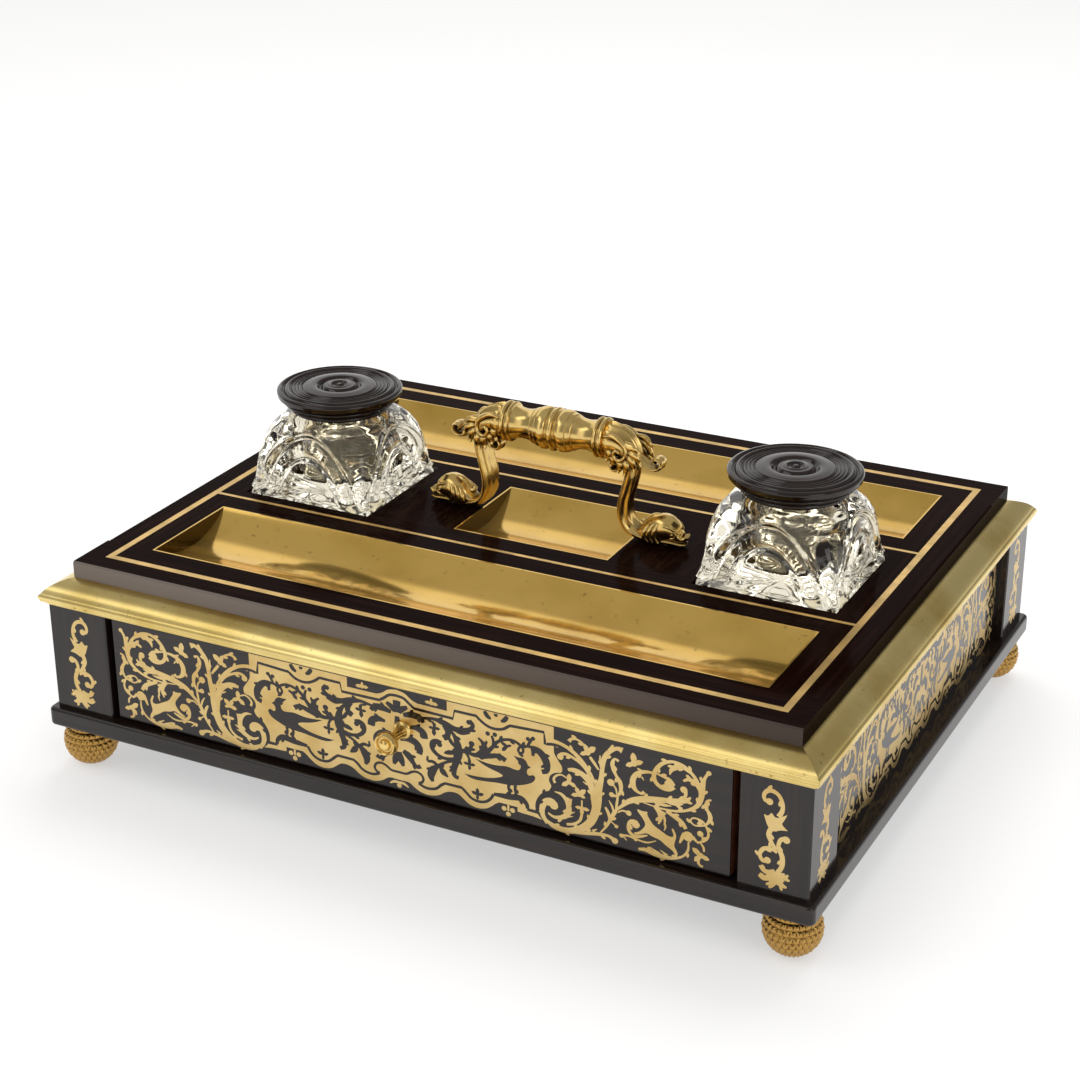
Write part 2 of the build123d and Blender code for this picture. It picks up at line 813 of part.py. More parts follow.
# Knob: a turned brass button on the drawer's middle
knob_plane = Plane((0, case_y + drawer_face, knob_level), x_dir=(-1, 0, 0), z_dir=UP)
head_start = knob_reach - knob_boss_height - knob_head_thickness
with BuildPart() as drawer_knob:
    with BuildSketch(knob_plane):
        Rectangle(knob_flange_radius, knob_flange_thickness, align=Align.MIN)
        Rectangle(knob_neck_radius, head_start, align=Align.MIN)
        with BuildSketch(Plane.XY, mode=Mode.PRIVATE) as head:
            with Locations((0, head_start)):
                Rectangle(knob_head_radius, knob_head_thickness, align=Align.MIN)
            fillet(head.vertices().sort_by(Axis.X)[-2:], radius=knob_head_round)
        add(head.sketch)
        with Locations((0, head_start + knob_head_thickness)):
            Rectangle(knob_boss_radius, knob_boss_height, align=Align.MIN)
    revolve(axis=Axis(knob_plane.origin, knob_plane.y_dir))
    add(knob_screw_hole, mode=Mode.SUBTRACT)
export_piece(drawer_knob, "drawer_knob")
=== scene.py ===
"""Desk compendium: an ebony desk stand inlaid with brass, on four gilt ball feet, with two
cut-glass inkwells, three brass troughs, a carrying handle and one drawer."""

import bmesh
import bpy
import numpy as np
from mathutils import Matrix, Vector


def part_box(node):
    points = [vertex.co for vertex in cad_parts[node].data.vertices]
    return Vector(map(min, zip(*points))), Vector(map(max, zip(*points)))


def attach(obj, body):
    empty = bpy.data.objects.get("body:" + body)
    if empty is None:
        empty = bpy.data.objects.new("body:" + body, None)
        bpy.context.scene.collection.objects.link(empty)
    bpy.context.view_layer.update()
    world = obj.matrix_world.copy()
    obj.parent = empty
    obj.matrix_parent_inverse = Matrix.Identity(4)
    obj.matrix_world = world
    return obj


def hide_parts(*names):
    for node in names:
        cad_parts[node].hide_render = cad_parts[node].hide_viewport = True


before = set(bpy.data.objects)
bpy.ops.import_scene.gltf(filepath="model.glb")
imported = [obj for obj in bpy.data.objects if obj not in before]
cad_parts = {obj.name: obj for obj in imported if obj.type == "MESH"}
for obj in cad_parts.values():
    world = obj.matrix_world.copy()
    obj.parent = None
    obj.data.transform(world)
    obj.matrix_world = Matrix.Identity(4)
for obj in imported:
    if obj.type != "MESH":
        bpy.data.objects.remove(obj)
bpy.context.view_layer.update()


# Plinth, corner posts and cap rails: ebony, French polished, its grain along each piece. The polish
# gives the sides a clear deep gloss with hardly any haze. The cap has lost most of it, and is browner.
def to_linear(code):
    """Linear colour of a hex code: each channel over 12.92, or its 2.4 power above the knee."""
    srgb = np.array([int(code[at : at + 2], 16) for at in (1, 3, 5)]) / 255
    linear = np.where(srgb > 0.04045, ((srgb + 0.055) / 1.055) ** 2.4, srgb / 12.92)
    return (*linear.tolist(), 1.0)


def add_node(tree, kind, settings=None, links=None, give=0):
    """One shader node with its properties and socket values, and outputs of others linked into it.
    The call gives back the node's output of that name or number."""
    made = tree.nodes.new("ShaderNode" + kind)
    for key, value in (settings or {}).items():
        if isinstance(key, str) and hasattr(made, key):
            setattr(made, key, value)
        else:
            made.inputs[key].default_value = value
    for key, source in (links or {}).items():
        tree.links.new(source, made.inputs[key])
    return made.outputs[give]


def new_finish(name, settings):
    """A material, its nodes and its object coordinates. The settings go on its principled shader."""
    finish = bpy.data.materials.new(name)
    finish.use_nodes = True
    tree = finish.node_tree
    for key, value in settings.items():
        tree.nodes["Principled BSDF"].inputs[key].default_value = value
    return finish, tree, add_node(tree, "TexCoord", give="Object")


def linked(finish, sources):
    """The finish, with outputs of its nodes linked into its shader's sockets of these names."""
    tree = finish.node_tree
    for key, source in sources.items():
        tree.links.new(source, tree.nodes["Principled BSDF"].inputs[key])
    return finish


def stretched_noise(tree, place, sizes, detail=4.0):
    """Noise whose features have about these sizes along x, y and z, in millimetres."""
    scales = [1000 / size for size in sizes]
    mapped = add_node(tree, "Mapping", {"Scale": scales}, {"Vector": place})
    return add_node(tree, "TexNoise", {"Scale": 1.0, "Detail": detail}, {"Vector": mapped})


def two_colours(first, second):
    """Settings that make a Mix node blend two sRGB colours, sockets 6 and 7. Its output 2 is a colour."""
    return {"data_type": "RGBA", 6: to_linear(first), 7: to_linear(second)}


def polished_ebony(name, grain, dark="#181210", streak="#291c15", painted_sheen=None, gloss=0.5):
    """Ebony under French polish: near black with brown streaks under a thin even shine. The grain is a
    streak's size, and pores are a sixth of it. Where colours of painted sheen are given, the faces to
    front and back take them: a painted reflection, pale and greyish, palest at the left end, less to the
    right."""
    finish, tree, place = new_finish(name, {"IOR": 1.5, "Specular IOR Level": gloss})
    figure = stretched_noise(tree, place, grain)
    streaks = add_node(tree, "MapRange", {"From Min": 0.45, "From Max": 0.75}, {0: figure})
    pores = stretched_noise(tree, place, [size / 6 for size in grain], 2.0)
    wood = add_node(tree, "Mix", two_colours(dark, streak), {0: streaks}, 2)
    # Painted reflection: the faces to front and back turn pale, palest at the left end.
    if painted_sheen:
        along = add_node(tree, "SeparateXYZ", {}, {0: place})
        fading = add_node(tree, "MapRange", {"From Min": -0.1, "From Max": 0.17}, {0: along})
        painted_sheen_colour = add_node(tree, "Mix", two_colours(*painted_sheen), {0: fading}, 2)
        facing = add_node(tree, "SeparateXYZ", {}, {0: add_node(tree, "NewGeometry", give="Normal")}, "Y")
        sideways = add_node(tree, "Math", {"operation": "ABSOLUTE"}, {0: facing})
        share = add_node(tree, "MapRange", {"From Min": 0.4, "From Max": 0.8}, {0: sideways})
        wood = add_node(tree, "Mix", {"data_type": "RGBA"}, {0: share, 6: wood, 7: painted_sheen_colour}, 2)
    hazy = {"From Min": 0.3, "From Max": 0.8, "To Min": 0.1, "To Max": 0.17}
    haze = add_node(tree, "MapRange", hazy, {0: pores})
    ripple = stretched_noise(tree, place, (71.4, 71.4, 71.4), 2.0)
    height = add_node(tree, "Math", {"operation": "MULTIPLY_ADD", 1: 0.05}, {0: pores, 2: ripple})
    bump = add_node(tree, "Bump", {"Strength": 0.04, "Distance": 0.0006}, {"Height": height})
    return linked(finish, {"Base Color": wood, "Roughness": haze, "Normal": bump})


def dress(finish, *labels):
    """Give a finish to CAD nodes that keep their shape."""
    for label in labels:
        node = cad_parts[label]
        for slot in node.material_slots:
            slot.material = finish
        if not node.material_slots:
            node.data.materials.append(finish)


CORNERS = ("front_left", "front_right", "back_left", "back_right")
# The cap's pale front and back faces are a painted reflection, palest at the left end.
TOP_EBONY = {"dark": "#110604", "streak": "#20100a", "painted_sheen": ("#7c726a", "#4f4540"), "gloss": 0.006}
streak_long, streak_wide = 55.6, 2.38
along_x, along_y = (streak_long, streak_wide, streak_wide), (streak_wide, streak_long, streak_wide)
ebony_lengthwise = polished_ebony("ebony_grain_lengthwise", along_x)
ebony_upright = polished_ebony("ebony_grain_upright", (streak_wide, streak_wide, streak_long))
cap_ebony_x = polished_ebony("ebony_cap_lengthwise", along_x, **TOP_EBONY)
cap_ebony_y = polished_ebony("ebony_cap_crosswise", along_y, **TOP_EBONY)
dress(ebony_lengthwise, "plinth")
dress(cap_ebony_x, "cap_rail_front", "cap_rail_back", "cross_rail_front", "cross_rail_back")
dress(cap_ebony_y, "cap_rail_left", "cap_rail_right", "inkwell_bed_left", "inkwell_bed_right")
dress(cap_ebony_y, "centre_block_left", "centre_block_right")
dress(ebony_upright, *(f"post_{corner}" for corner in CORNERS))


# Drawer box, panels, guides and top board: mahogany, oiled and left matt where it isn't seen.
# Its grain runs along each board in reddish brown bands with darker pores.
def oiled_mahogany(name, grain):
    """Mahogany under oil: red brown bands of the grain's size, dark pores an eighth of it along them,
    almost no shine."""
    finish, tree, place = new_finish(name, {"Roughness": 0.55})
    figure = stretched_noise(tree, place, grain)
    bands = add_node(tree, "MapRange", {"From Min": 0.3, "From Max": 0.7}, {0: figure})
    pores = stretched_noise(tree, place, [size / 8 for size in grain], 2.0)
    dark = add_node(tree, "MapRange", {"From Min": 0.55, "From Max": 0.7, "To Max": 0.6}, {0: pores})
    wood = add_node(tree, "Mix", two_colours("#5a2b18", "#7d4527"), {0: bands}, 2)
    pored = add_node(tree, "Mix", {"data_type": "RGBA", 7: to_linear("#331509")}, {0: dark, 6: wood}, 2)
    bump = add_node(tree, "Bump", {"Strength": 0.15, "Distance": 0.0003}, {"Height": pores})
    return linked(finish, {"Base Color": pored, "Normal": bump})


band_long, band_wide = 83.3, 6.25
mahogany_lengthwise = oiled_mahogany("mahogany_grain_lengthwise", (band_long, band_wide, band_wide))
mahogany_crosswise = oiled_mahogany("mahogany_grain_crosswise", (band_wide, band_long, band_wide))
dress(mahogany_lengthwise, "top_board", "back_panel", "drawer_stops", "drawer_front", "drawer_back")
dress(mahogany_crosswise, "side_panel_left", "side_panel_right", "drawer_guide_left", "drawer_guide_right")
dress(mahogany_crosswise, "drawer_side_left", "drawer_side_right", "drawer_bottom")


# Ball feet: cast brass balls, chased all over with staggered rows of small bosses like woven cane,
# fire gilt. Each is screwed up under a corner of the plinth, and rests on a small flat. Profiles are
# in millimetres from here on.
MM = 0.001
case_y = (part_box("cap_rail_front")[0].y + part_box("cap_rail_back")[1].y) / 2
plinth_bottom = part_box("plinth")[0].z


def lattice(points):
    """Shell of quads over a grid of points, whose columns close round."""
    index = np.arange(points.shape[0] * points.shape[1]).reshape(points.shape[:2])
    index = np.hstack([index, index[:, :1]])
    quads = np.stack([index[:-1, :-1], index[1:, :-1], index[1:, 1:], index[:-1, 1:]], axis=-1)
    return points.reshape(-1, 3), [quads.reshape(-1, 4)]


def placed(shell, origin, mirror_x=1):
    """A shell in millimetres set at an origin in metres, its x turned over where asked."""
    points, faces = shell
    return points * np.array([mirror_x, 1, 1]) * MM + np.array(origin), faces


def add_piece(name, shells, body, finish, crease, replaced=()):
    """One object of closed shells: doubles merged, faces outwards, smooth below the crease angle. It
    rides on its body, and takes the place of the CAD nodes named."""
    counts = np.cumsum([0] + [len(points) for points, _ in shells])
    faces = []
    for start, (_, arrays) in zip(counts, shells):
        for array in arrays:
            faces.extend((array + start).tolist())
    mesh = bpy.data.meshes.new(name)
    mesh.from_pydata(np.concatenate([points for points, _ in shells]), [], faces)
    work = bmesh.new()
    work.from_mesh(mesh)
    bmesh.ops.remove_doubles(work, verts=work.verts, dist=1e-7)
    bmesh.ops.recalc_face_normals(work, faces=work.faces)
    work.to_mesh(mesh)
    work.free()
    mesh.shade_smooth()
    mesh.set_sharp_from_angle(angle=np.radians(crease))
    mesh.materials.append(finish)
    piece = bpy.data.objects.new(name, mesh)
    bpy.context.scene.collection.objects.link(piece)
    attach(piece, body)
    if replaced:
        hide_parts(*replaced)


def gilt_brass(name, gold, shade="#3d2810", roughness=0.28, reach=0.0016):
    """Gilt cast brass: warm gold on the high parts, and dark in the hollows: painted shade, with the dirt
    the hollows hold. The darkening starts where less than 85% of the sky within reach is open, and is
    full where less than 40% is. The casting's grain is drawn about 1 mm coarse, so that it shows."""
    finish, tree, place = new_finish(name, {"Metallic": 1.0})
    hollow = {"samples": 6, "only_local": True, "Distance": reach}
    open_sky = add_node(tree, "AmbientOcclusion", hollow, give="AO")
    raised = add_node(tree, "MapRange", {"From Min": 0.4, "From Max": 0.85}, {0: open_sky})
    wear = stretched_noise(tree, place, (3.85, 3.85, 3.85))
    mottle = add_node(tree, "MapRange", {"From Min": 0.35, "From Max": 0.7, "To Max": 0.35}, {0: wear})
    clean = add_node(tree, "Mix", two_colours(gold, "#b9924f"), {0: mottle}, 2)
    # Painted shade, with the hollows' dirt: open sky sets how much of the shade colour a point takes.
    colour = add_node(tree, "Mix", {"data_type": "RGBA", 6: to_linear(shade)}, {0: raised, 7: clean}, 2)
    polish = add_node(tree, "MapRange", {"To Min": 0.5, "To Max": roughness}, {0: raised})
    grain = stretched_noise(tree, place, (1.11, 1.11, 1.11))
    bump = add_node(tree, "Bump", {"Strength": 0.12, "Distance": 0.0002}, {"Height": grain})
    return linked(finish, {"Base Color": colour, "Roughness": polish, "Normal": bump})


def woven_ball(radius, centre, top, rows=13, columns=26, steps=6, relief=0.85):
    """Ball of staggered bosses. Its radius is the ball's less the relief, plus the relief times the
    power 0.8 of a product: sine across a row times sine across a boss. z stays between the flats."""
    polar = np.linspace(0, 1, rows * steps + 1)[:, None]
    turn = np.arange(columns * steps)[None, :] / (columns * steps)
    row = np.minimum(np.floor(polar * rows), rows - 1)
    across_row = np.sin(np.pi * (polar * rows - row))
    across_boss = np.abs(np.sin(np.pi * (turn * columns + 0.5 * row)))
    swell = radius - relief + relief * (np.clip(across_row, 0, 1) * across_boss) ** 0.8
    angle = np.pi * polar
    z = np.clip(centre - swell * np.cos(angle), 0, top)
    ring = swell * np.sin(angle)
    points = np.stack([ring * np.cos(2 * np.pi * turn), ring * np.sin(2 * np.pi * turn), z], axis=-1)
    return lattice(points)


foot_gilding = gilt_brass("fire_gilt_brass_chased", "#bb924f", "#241504", 0.2, 0.0026)
ball_radius, ball_centre = 12.8, 12.39
for corner in CORNERS:
    label = f"foot_{corner}"
    low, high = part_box(label)
    foot_middle = ((low.x + high.x) / 2, (low.y + high.y) / 2, 0)
    ball = placed(woven_ball(ball_radius, ball_centre, plinth_bottom / MM), foot_middle)
    add_piece(f"ball_{corner}", [ball], "case", foot_gilding, 30, [label])


# Studs, nuts and the knob's screw: turned mild steel, grey and slightly dulled, all out of sight. They
# hold the feet under the plinth, the handle's feet on the top, and the knob on the drawer.
def turned_steel(name):
    """Mild steel from the lathe: grey, satin, with turning marks 0.2 mm apart."""
    finish, tree, place = new_finish(name, {"Metallic": 1.0, "Base Color": to_linear("#8f8c88")})
    marks = stretched_noise(tree, place, (1.43, 1.43, 0.2), 2.0)
    satin = {"From Min": 0.3, "From Max": 0.7, "To Min": 0.28, "To Max": 0.45}
    return linked(finish, {"Roughness": add_node(tree, "MapRange", satin, {0: marks})})


dress(turned_steel("turned_mild_steel"), "foot_studs", "knob_screw", "handle_nuts", "handle_studs")


# Moulding under the cap: four lengths of drawn brass, mitred at the corners and pinned to the board.
# Each has a flat that meets the cap, a broad slope, a rounded nose, and a lip under a fine groove.
def polished_brass(name, grain, gloss, brass="#ebd38c", dull="#c9a957", metal=1.0, plates=None):
    """Polished sheet brass: yellow, with rubbing marks along its length, dull in cloudy patches, with a
    few dark specks. Where a colour for plates is given, the faces that look along x take it: painted shade
    that darkens the end plates. The gloss is the least roughness. The grain is a rubbing mark's size,
    drawn coarser than real ones, so that it shows."""
    finish, tree, place = new_finish(name, {"Metallic": metal})
    air = stretched_noise(tree, place, (38.5, 38.5, 38.5))
    clouds = add_node(tree, "MapRange", {"From Min": 0.42, "From Max": 0.75}, {0: air})
    rubbing = stretched_noise(tree, place, grain, 3.0)
    dirt = stretched_noise(tree, place, (2.63, 2.63, 2.63), 1.0)
    specks = add_node(tree, "MapRange", {"From Min": 0.7, "From Max": 0.78, "To Max": 0.45}, {0: dirt})
    clean = add_node(tree, "Mix", two_colours(brass, dull), {0: clouds}, 2)
    face = add_node(tree, "Mix", {"data_type": "RGBA", 7: to_linear("#7a6436")}, {0: specks, 6: clean}, 2)
    # Painted shade: the faces that look along x, the end plates, take the darker colour.
    if plates:
        along = add_node(tree, "SeparateXYZ", {}, {0: add_node(tree, "NewGeometry", give="Normal")})
        facing = add_node(tree, "Math", {"operation": "ABSOLUTE"}, {0: along})
        share = add_node(tree, "MapRange", {"From Min": 0.5, "From Max": 0.9}, {0: facing})
        face = add_node(tree, "Mix", {"data_type": "RGBA", 7: to_linear(plates)}, {0: share, 6: face}, 2)
    shine = add_node(tree, "Math", {"operation": "MULTIPLY_ADD", 1: 0.1}, {0: clouds, 2: rubbing})
    polished = {"From Min": 0.3, "From Max": 0.8, "To Min": gloss, "To Max": gloss + 0.09}
    polish = add_node(tree, "MapRange", polished, {0: shine})
    wave = stretched_noise(tree, place, (33.3, 33.3, 33.3), 1.0)
    height = add_node(tree, "Math", {"operation": "MULTIPLY_ADD", 1: 0.03}, {0: rubbing, 2: wave})
    bump = add_node(tree, "Bump", {"Strength": 0.06, "Distance": 0.0008}, {"Height": height})
    return linked(finish, {"Base Color": face, "Roughness": polish, "Normal": bump})


def arc(start, middle, end, count):
    """Parabola through three points: the middle one is reached half way."""
    t = np.linspace(0, 1, count)[:, None]
    start, middle, end = (np.array(point, float) for point in (start, middle, end))
    control = 2 * middle - (start + end) / 2
    return (1 - t) ** 2 * start + 2 * t * (1 - t) * control + t**2 * end


def moulding_profile():
    """Section of the moulding as (outward, upward) points, round from the foot of its back."""
    slope = arc((0.4, 11.25), (6.9, 8.95), (11.0, 5.4), 22)
    nose = arc((11.0, 5.4), (12.0, 4.2), (11.85, 2.9), 11)
    lower = [(11.6, 2.72), (11.66, 2.4), (11.6, 1.8), (11.4, 1.6), (9.4, 1.6), (9.4, 0)]
    return np.vstack([[(0, 0), (0, 11.3)], slope, nose[1:], lower])


def capped(ends):
    """A bar between two outlines of equally many points, with a flat face over each end."""
    points, faces = lattice(np.stack(ends))
    return points, [*faces, np.arange(len(points)).reshape(2, -1)]


def mitred_length(profile, half_run, gap=0.05):
    """The section carried along x between mitres: each point stands half a run plus its distance out."""
    reach = half_run + profile[:, 0] - gap
    return capped([np.stack([sign * reach, profile[:, 0], profile[:, 1]], axis=-1) for sign in (-1, 1)])


cap_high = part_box("cap_rail_back")[1]
cap_half_x, cap_half_y, cap_top = cap_high.x / MM, (cap_high.y - case_y) / MM, cap_high.z
moulding_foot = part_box("moulding_front")[0].z
# Each side of the case: its run's direction, its outward direction, half its run, the cap's half size
SIDES = {
    "front": ((1, 0), (0, -1), cap_half_x, cap_half_y),
    "back": ((-1, 0), (0, 1), cap_half_x, cap_half_y),
    "left": ((0, -1), (-1, 0), cap_half_y, cap_half_x),
    "right": ((0, 1), (1, 0), cap_half_y, cap_half_x),
}
mark_long, mark_wide = 50, 0.714
moulding_brass_x = polished_brass("drawn_brass_lengthwise", (mark_long, mark_wide, mark_wide), 0.2)
moulding_brass_y = polished_brass("drawn_brass_crosswise", (mark_wide, mark_long, mark_wide), 0.2)
for side, (run, outward, half_run, distance) in SIDES.items():
    points, faces = mitred_length(moulding_profile(), half_run)
    x = points[:, 0] * run[0] + (points[:, 1] + distance) * outward[0]
    y = points[:, 0] * run[1] + (points[:, 1] + distance) * outward[1]
    shell = placed((np.stack([x, y, points[:, 2]], axis=-1), faces), (0, case_y, moulding_foot))
    finish = moulding_brass_x if side in ("front", "back") else moulding_brass_y
    add_piece(f"cap_moulding_{side}", [shell], "case", finish, 28, [f"moulding_{side}"])
dress(gilt_brass("pin_brass_drawn", "#b8985a"), "moulding_pins")


# Stringing: thin strips of brass let into the cap and scraped flush with the ebony. A border goes round
# it, and two lines cross it beside the well; glue holds them in their grooves.
def satin_brass(name, brass="#dcc085"):
    """Inlaid brass scraped flush and polished with the wood: pale gold, satin, faintly scratched, its
    scratches drawn coarse so that they show."""
    finish, tree, place = new_finish(name, {"Metallic": 1.0})
    air = stretched_noise(tree, place, (16.7, 16.7, 16.7))
    clouds = add_node(tree, "MapRange", {"From Min": 0.4, "From Max": 0.7}, {0: air})
    scratches = stretched_noise(tree, place, (4.17, 4.17, 0.417), 3.0)
    colour = add_node(tree, "Mix", two_colours(brass, "#cbaa6a"), {0: clouds}, 2)
    satin = {"From Min": 0.3, "From Max": 0.7, "To Min": 0.3, "To Max": 0.44}
    shine = add_node(tree, "MapRange", satin, {0: scratches})
    bump = add_node(tree, "Bump", {"Strength": 0.05, "Distance": 0.0002}, {"Height": scratches})
    return linked(finish, {"Base Color": colour, "Roughness": shine, "Normal": bump})


inlaid_brass = satin_brass("inlaid_brass_scraped")
dress(satin_brass("stringing_brass", "#f4cb80"), "border_stringing", "cross_line_front", "cross_line_back")


# Pen trays and the well: sheet brass bent to an arc, with a flat plate soldered into each end,
# dropped between the rails. The arc is bright from the pens' rubbing; the end plates have painted shade.
def trough_shells(length, half_width, depth, wall, count=40):
    """An arc of sheet carried along x, and two end plates of its segment. The arc passes through the
    edges at z 0 and through the middle at minus the depth; its wall lies outside it."""
    radius = (half_width**2 + depth**2) / (2 * depth)
    reach = np.arcsin(half_width / radius)
    angle = np.linspace(-reach, reach, count)
    inside = np.stack([radius * np.sin(angle), radius - depth - radius * np.cos(angle)], axis=-1)
    outer = np.stack([np.sin(angle), -np.cos(angle)], axis=-1) * (radius + wall) + [0, radius - depth]
    outer[:, 1] = np.minimum(outer[:, 1], 0)
    near_edge = 0.15
    lip = np.array([[half_width + wall, 0.0], [half_width + near_edge, 0.0]])
    section = np.vstack([inside, lip[1:], lip[:1], outer[::-1], lip[:1] * [-1, 1], lip[1:] * [-1, 1]])
    plate = length / 2 - wall
    runs = ((section, -length / 2, length / 2), (inside, -length / 2, -plate), (inside, plate, length / 2))
    return [bar_along_x(*run) for run in runs]


def bar_along_x(section, start, end):
    """A closed (y, z) section carried from one x to another, with flat ends."""
    return capped([np.column_stack([np.full(len(section), x), section]) for x in (start, end)])


# The trays' end plates are darkened with painted shade.
# At 0.86 metallic, the front tray mirrors the dark lids as faintly as the photograph's does
tray_brass = polished_brass(
    "tray_brass_rubbed", (83.3, 1.11, 1.11), 0.08, "#e6bd64", "#cda44a", metal=0.86, plates="#57451f"
)
tray_depth, tray_wall = 9.3, 0.8
for label in ("pen_tray_front", "pen_tray_back", "central_well"):
    low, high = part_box(label)
    trough_middle = (0, (low.y + high.y) / 2, high.z)
    length, half_width = (high.x - low.x) / MM, (high.y - low.y) / MM / 2 - tray_wall
    troughs = trough_shells(length, half_width, tray_depth, tray_wall)
    shells = [placed(shell, trough_middle) for shell in troughs]
    add_piece(f"brass_{label}", shells, "case", tray_brass, 35, [label])


# Carrying handle's grip: brass turned to a baluster, with a ring between two swellings in the middle
# and a collar at each end, held by its spigots between the two cast legs.
def smooth(rows, count):
    """Rows of values through which a cubic runs. Between two rows it is the Hermite blend of both
    and of the slopes there, over the distance travelled in the first columns."""
    rows = np.asarray(rows, float)
    steps = np.linalg.norm(np.diff(rows[:, :-1], axis=0), axis=1)
    travelled = np.concatenate([[0], np.cumsum(steps)])
    slopes = np.gradient(rows, travelled, axis=0)
    at = np.linspace(0, travelled[-1], count)
    index = np.clip(np.searchsorted(travelled, at, side="right") - 1, 0, len(rows) - 2)
    span = (travelled[index + 1] - travelled[index])[:, None]
    t = (at[:, None] - travelled[index][:, None]) / span
    return (
        (2 * t**3 - 3 * t**2 + 1) * rows[index]
        + (t**3 - 2 * t**2 + t) * span * slopes[index]
        + (3 * t**2 - 2 * t**3) * rows[index + 1]
        + (t**3 - t**2) * span * slopes[index + 1]
    )


def turned(profile, axis="z", sides=64):
    """A (radius, along) profile turned round its axis: along stays, and the radius sweeps a circle."""
    turn = np.linspace(0, 2 * np.pi, sides, endpoint=False)[None, :]
    radius, along = profile[:, :1], profile[:, 1:] + 0 * turn
    first, second = radius * np.cos(turn), radius * np.sin(turn)
    order = {"x": (along, first, second), "y": (first, along, second), "z": (first, second, along)}[axis]
    return lattice(np.stack(order, axis=-1))


grip_axis = (0, case_y, (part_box("handle_grip")[0].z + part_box("handle_grip")[1].z) / 2)
half_grip = np.vstack(
    [
        arc((10.2, 0), (10.0, 0.8), (9.3, 1.3), 6),
        arc((8.8, 1.5), (8.6, 2.0), (8.8, 2.5), 4),
        arc((9.2, 2.7), (10.0, 4.7), (9.4, 7.6), 12),
        [(9.1, 7.8), (9.15, 8.1)],
        arc((9.0, 8.2), (8.75, 9.2), (8.4, 10.2), 5),
        [(8.15, 10.4), (8.2, 10.7)],
        arc((8.0, 10.8), (7.0, 15.8), (8.0, 21.0), 14),
        arc((8.7, 21.2), (9.4, 22.1), (8.8, 23.0), 7),
        [(8.3, 23.3), (8.3, 23.7)],
        arc((8.8, 23.9), (9.5, 24.9), (8.8, 26.0), 7),
        [(0, 26.0)],
    ]
)
grip_profile = np.vstack([half_grip[::-1] * [1, -1], half_grip[1:]])
handle_brass = gilt_brass("handle_brass_turned", "#efce82", "#4d3212", 0.19, 0.0012)
grip = placed(turned(grip_profile, "x"), grip_axis)
add_piece("grip", [grip], "case", handle_brass, 35, ["handle_grip"])


# Handle legs: cast brass, chased. Each is an elbow wrapped in acanthus, with a curl out and a curl in,
# a grooved strap, and a foot like a dolphin's head that is bolted down through the cap.
def carried(rows, sides, across=(0, 1, 0), ribs=0, rib_depth=0.0, groove=0.0, step=0.5):
    """An oval carried along a smooth path of (x, y, z, half width, half thickness). Each point is the
    path plus half width times cosine across, plus half thickness times sine along the normal;
    ribs and a groove along the middle thin it, and each end is drawn in to a point."""
    rows = np.asarray(rows, float)
    length = np.linalg.norm(np.diff(rows[:, :3], axis=0), axis=1).sum()
    path = smooth(rows, max(8, int(length / step)))
    tangent = np.gradient(path[:, :3], axis=0)
    tangent /= np.linalg.norm(tangent, axis=1)[:, None]
    wide_axis = np.array(across, float) - (tangent @ np.array(across, float))[:, None] * tangent
    wide_axis /= np.linalg.norm(wide_axis, axis=1)[:, None]
    thick_axis = np.cross(tangent, wide_axis)
    turn = np.linspace(0, 2 * np.pi, sides, endpoint=False)[None, :]
    ribbed = rib_depth * (0.5 + 0.5 * np.cos(ribs * turn))
    thin = 1 - ribbed - groove * np.exp(-((np.cos(turn) / 0.3) ** 2))
    wide = (path[:, 3:4] * np.cos(turn))[..., None] * wide_axis[:, None, :]
    thick = (path[:, 4:5] * np.sin(turn) * thin)[..., None] * thick_axis[:, None, :]
    points = path[:, None, :3] + wide + thick
    caps = [np.repeat(points[end].mean(axis=0)[None, None, :], sides, axis=1) for end in (0, -1)]
    return lattice(np.concatenate([caps[0], points, caps[1]]))


def ball_at(x, y, z, radius, sides=14):
    """A ball: radius times sine of the polar angle round, times its cosine up."""
    polar = np.linspace(0, np.pi, sides)
    profile = np.stack([radius * np.sin(polar), -radius * np.cos(polar)], axis=-1)
    points, faces = turned(profile, sides=2 * sides)
    return points + [x, y, z], faces


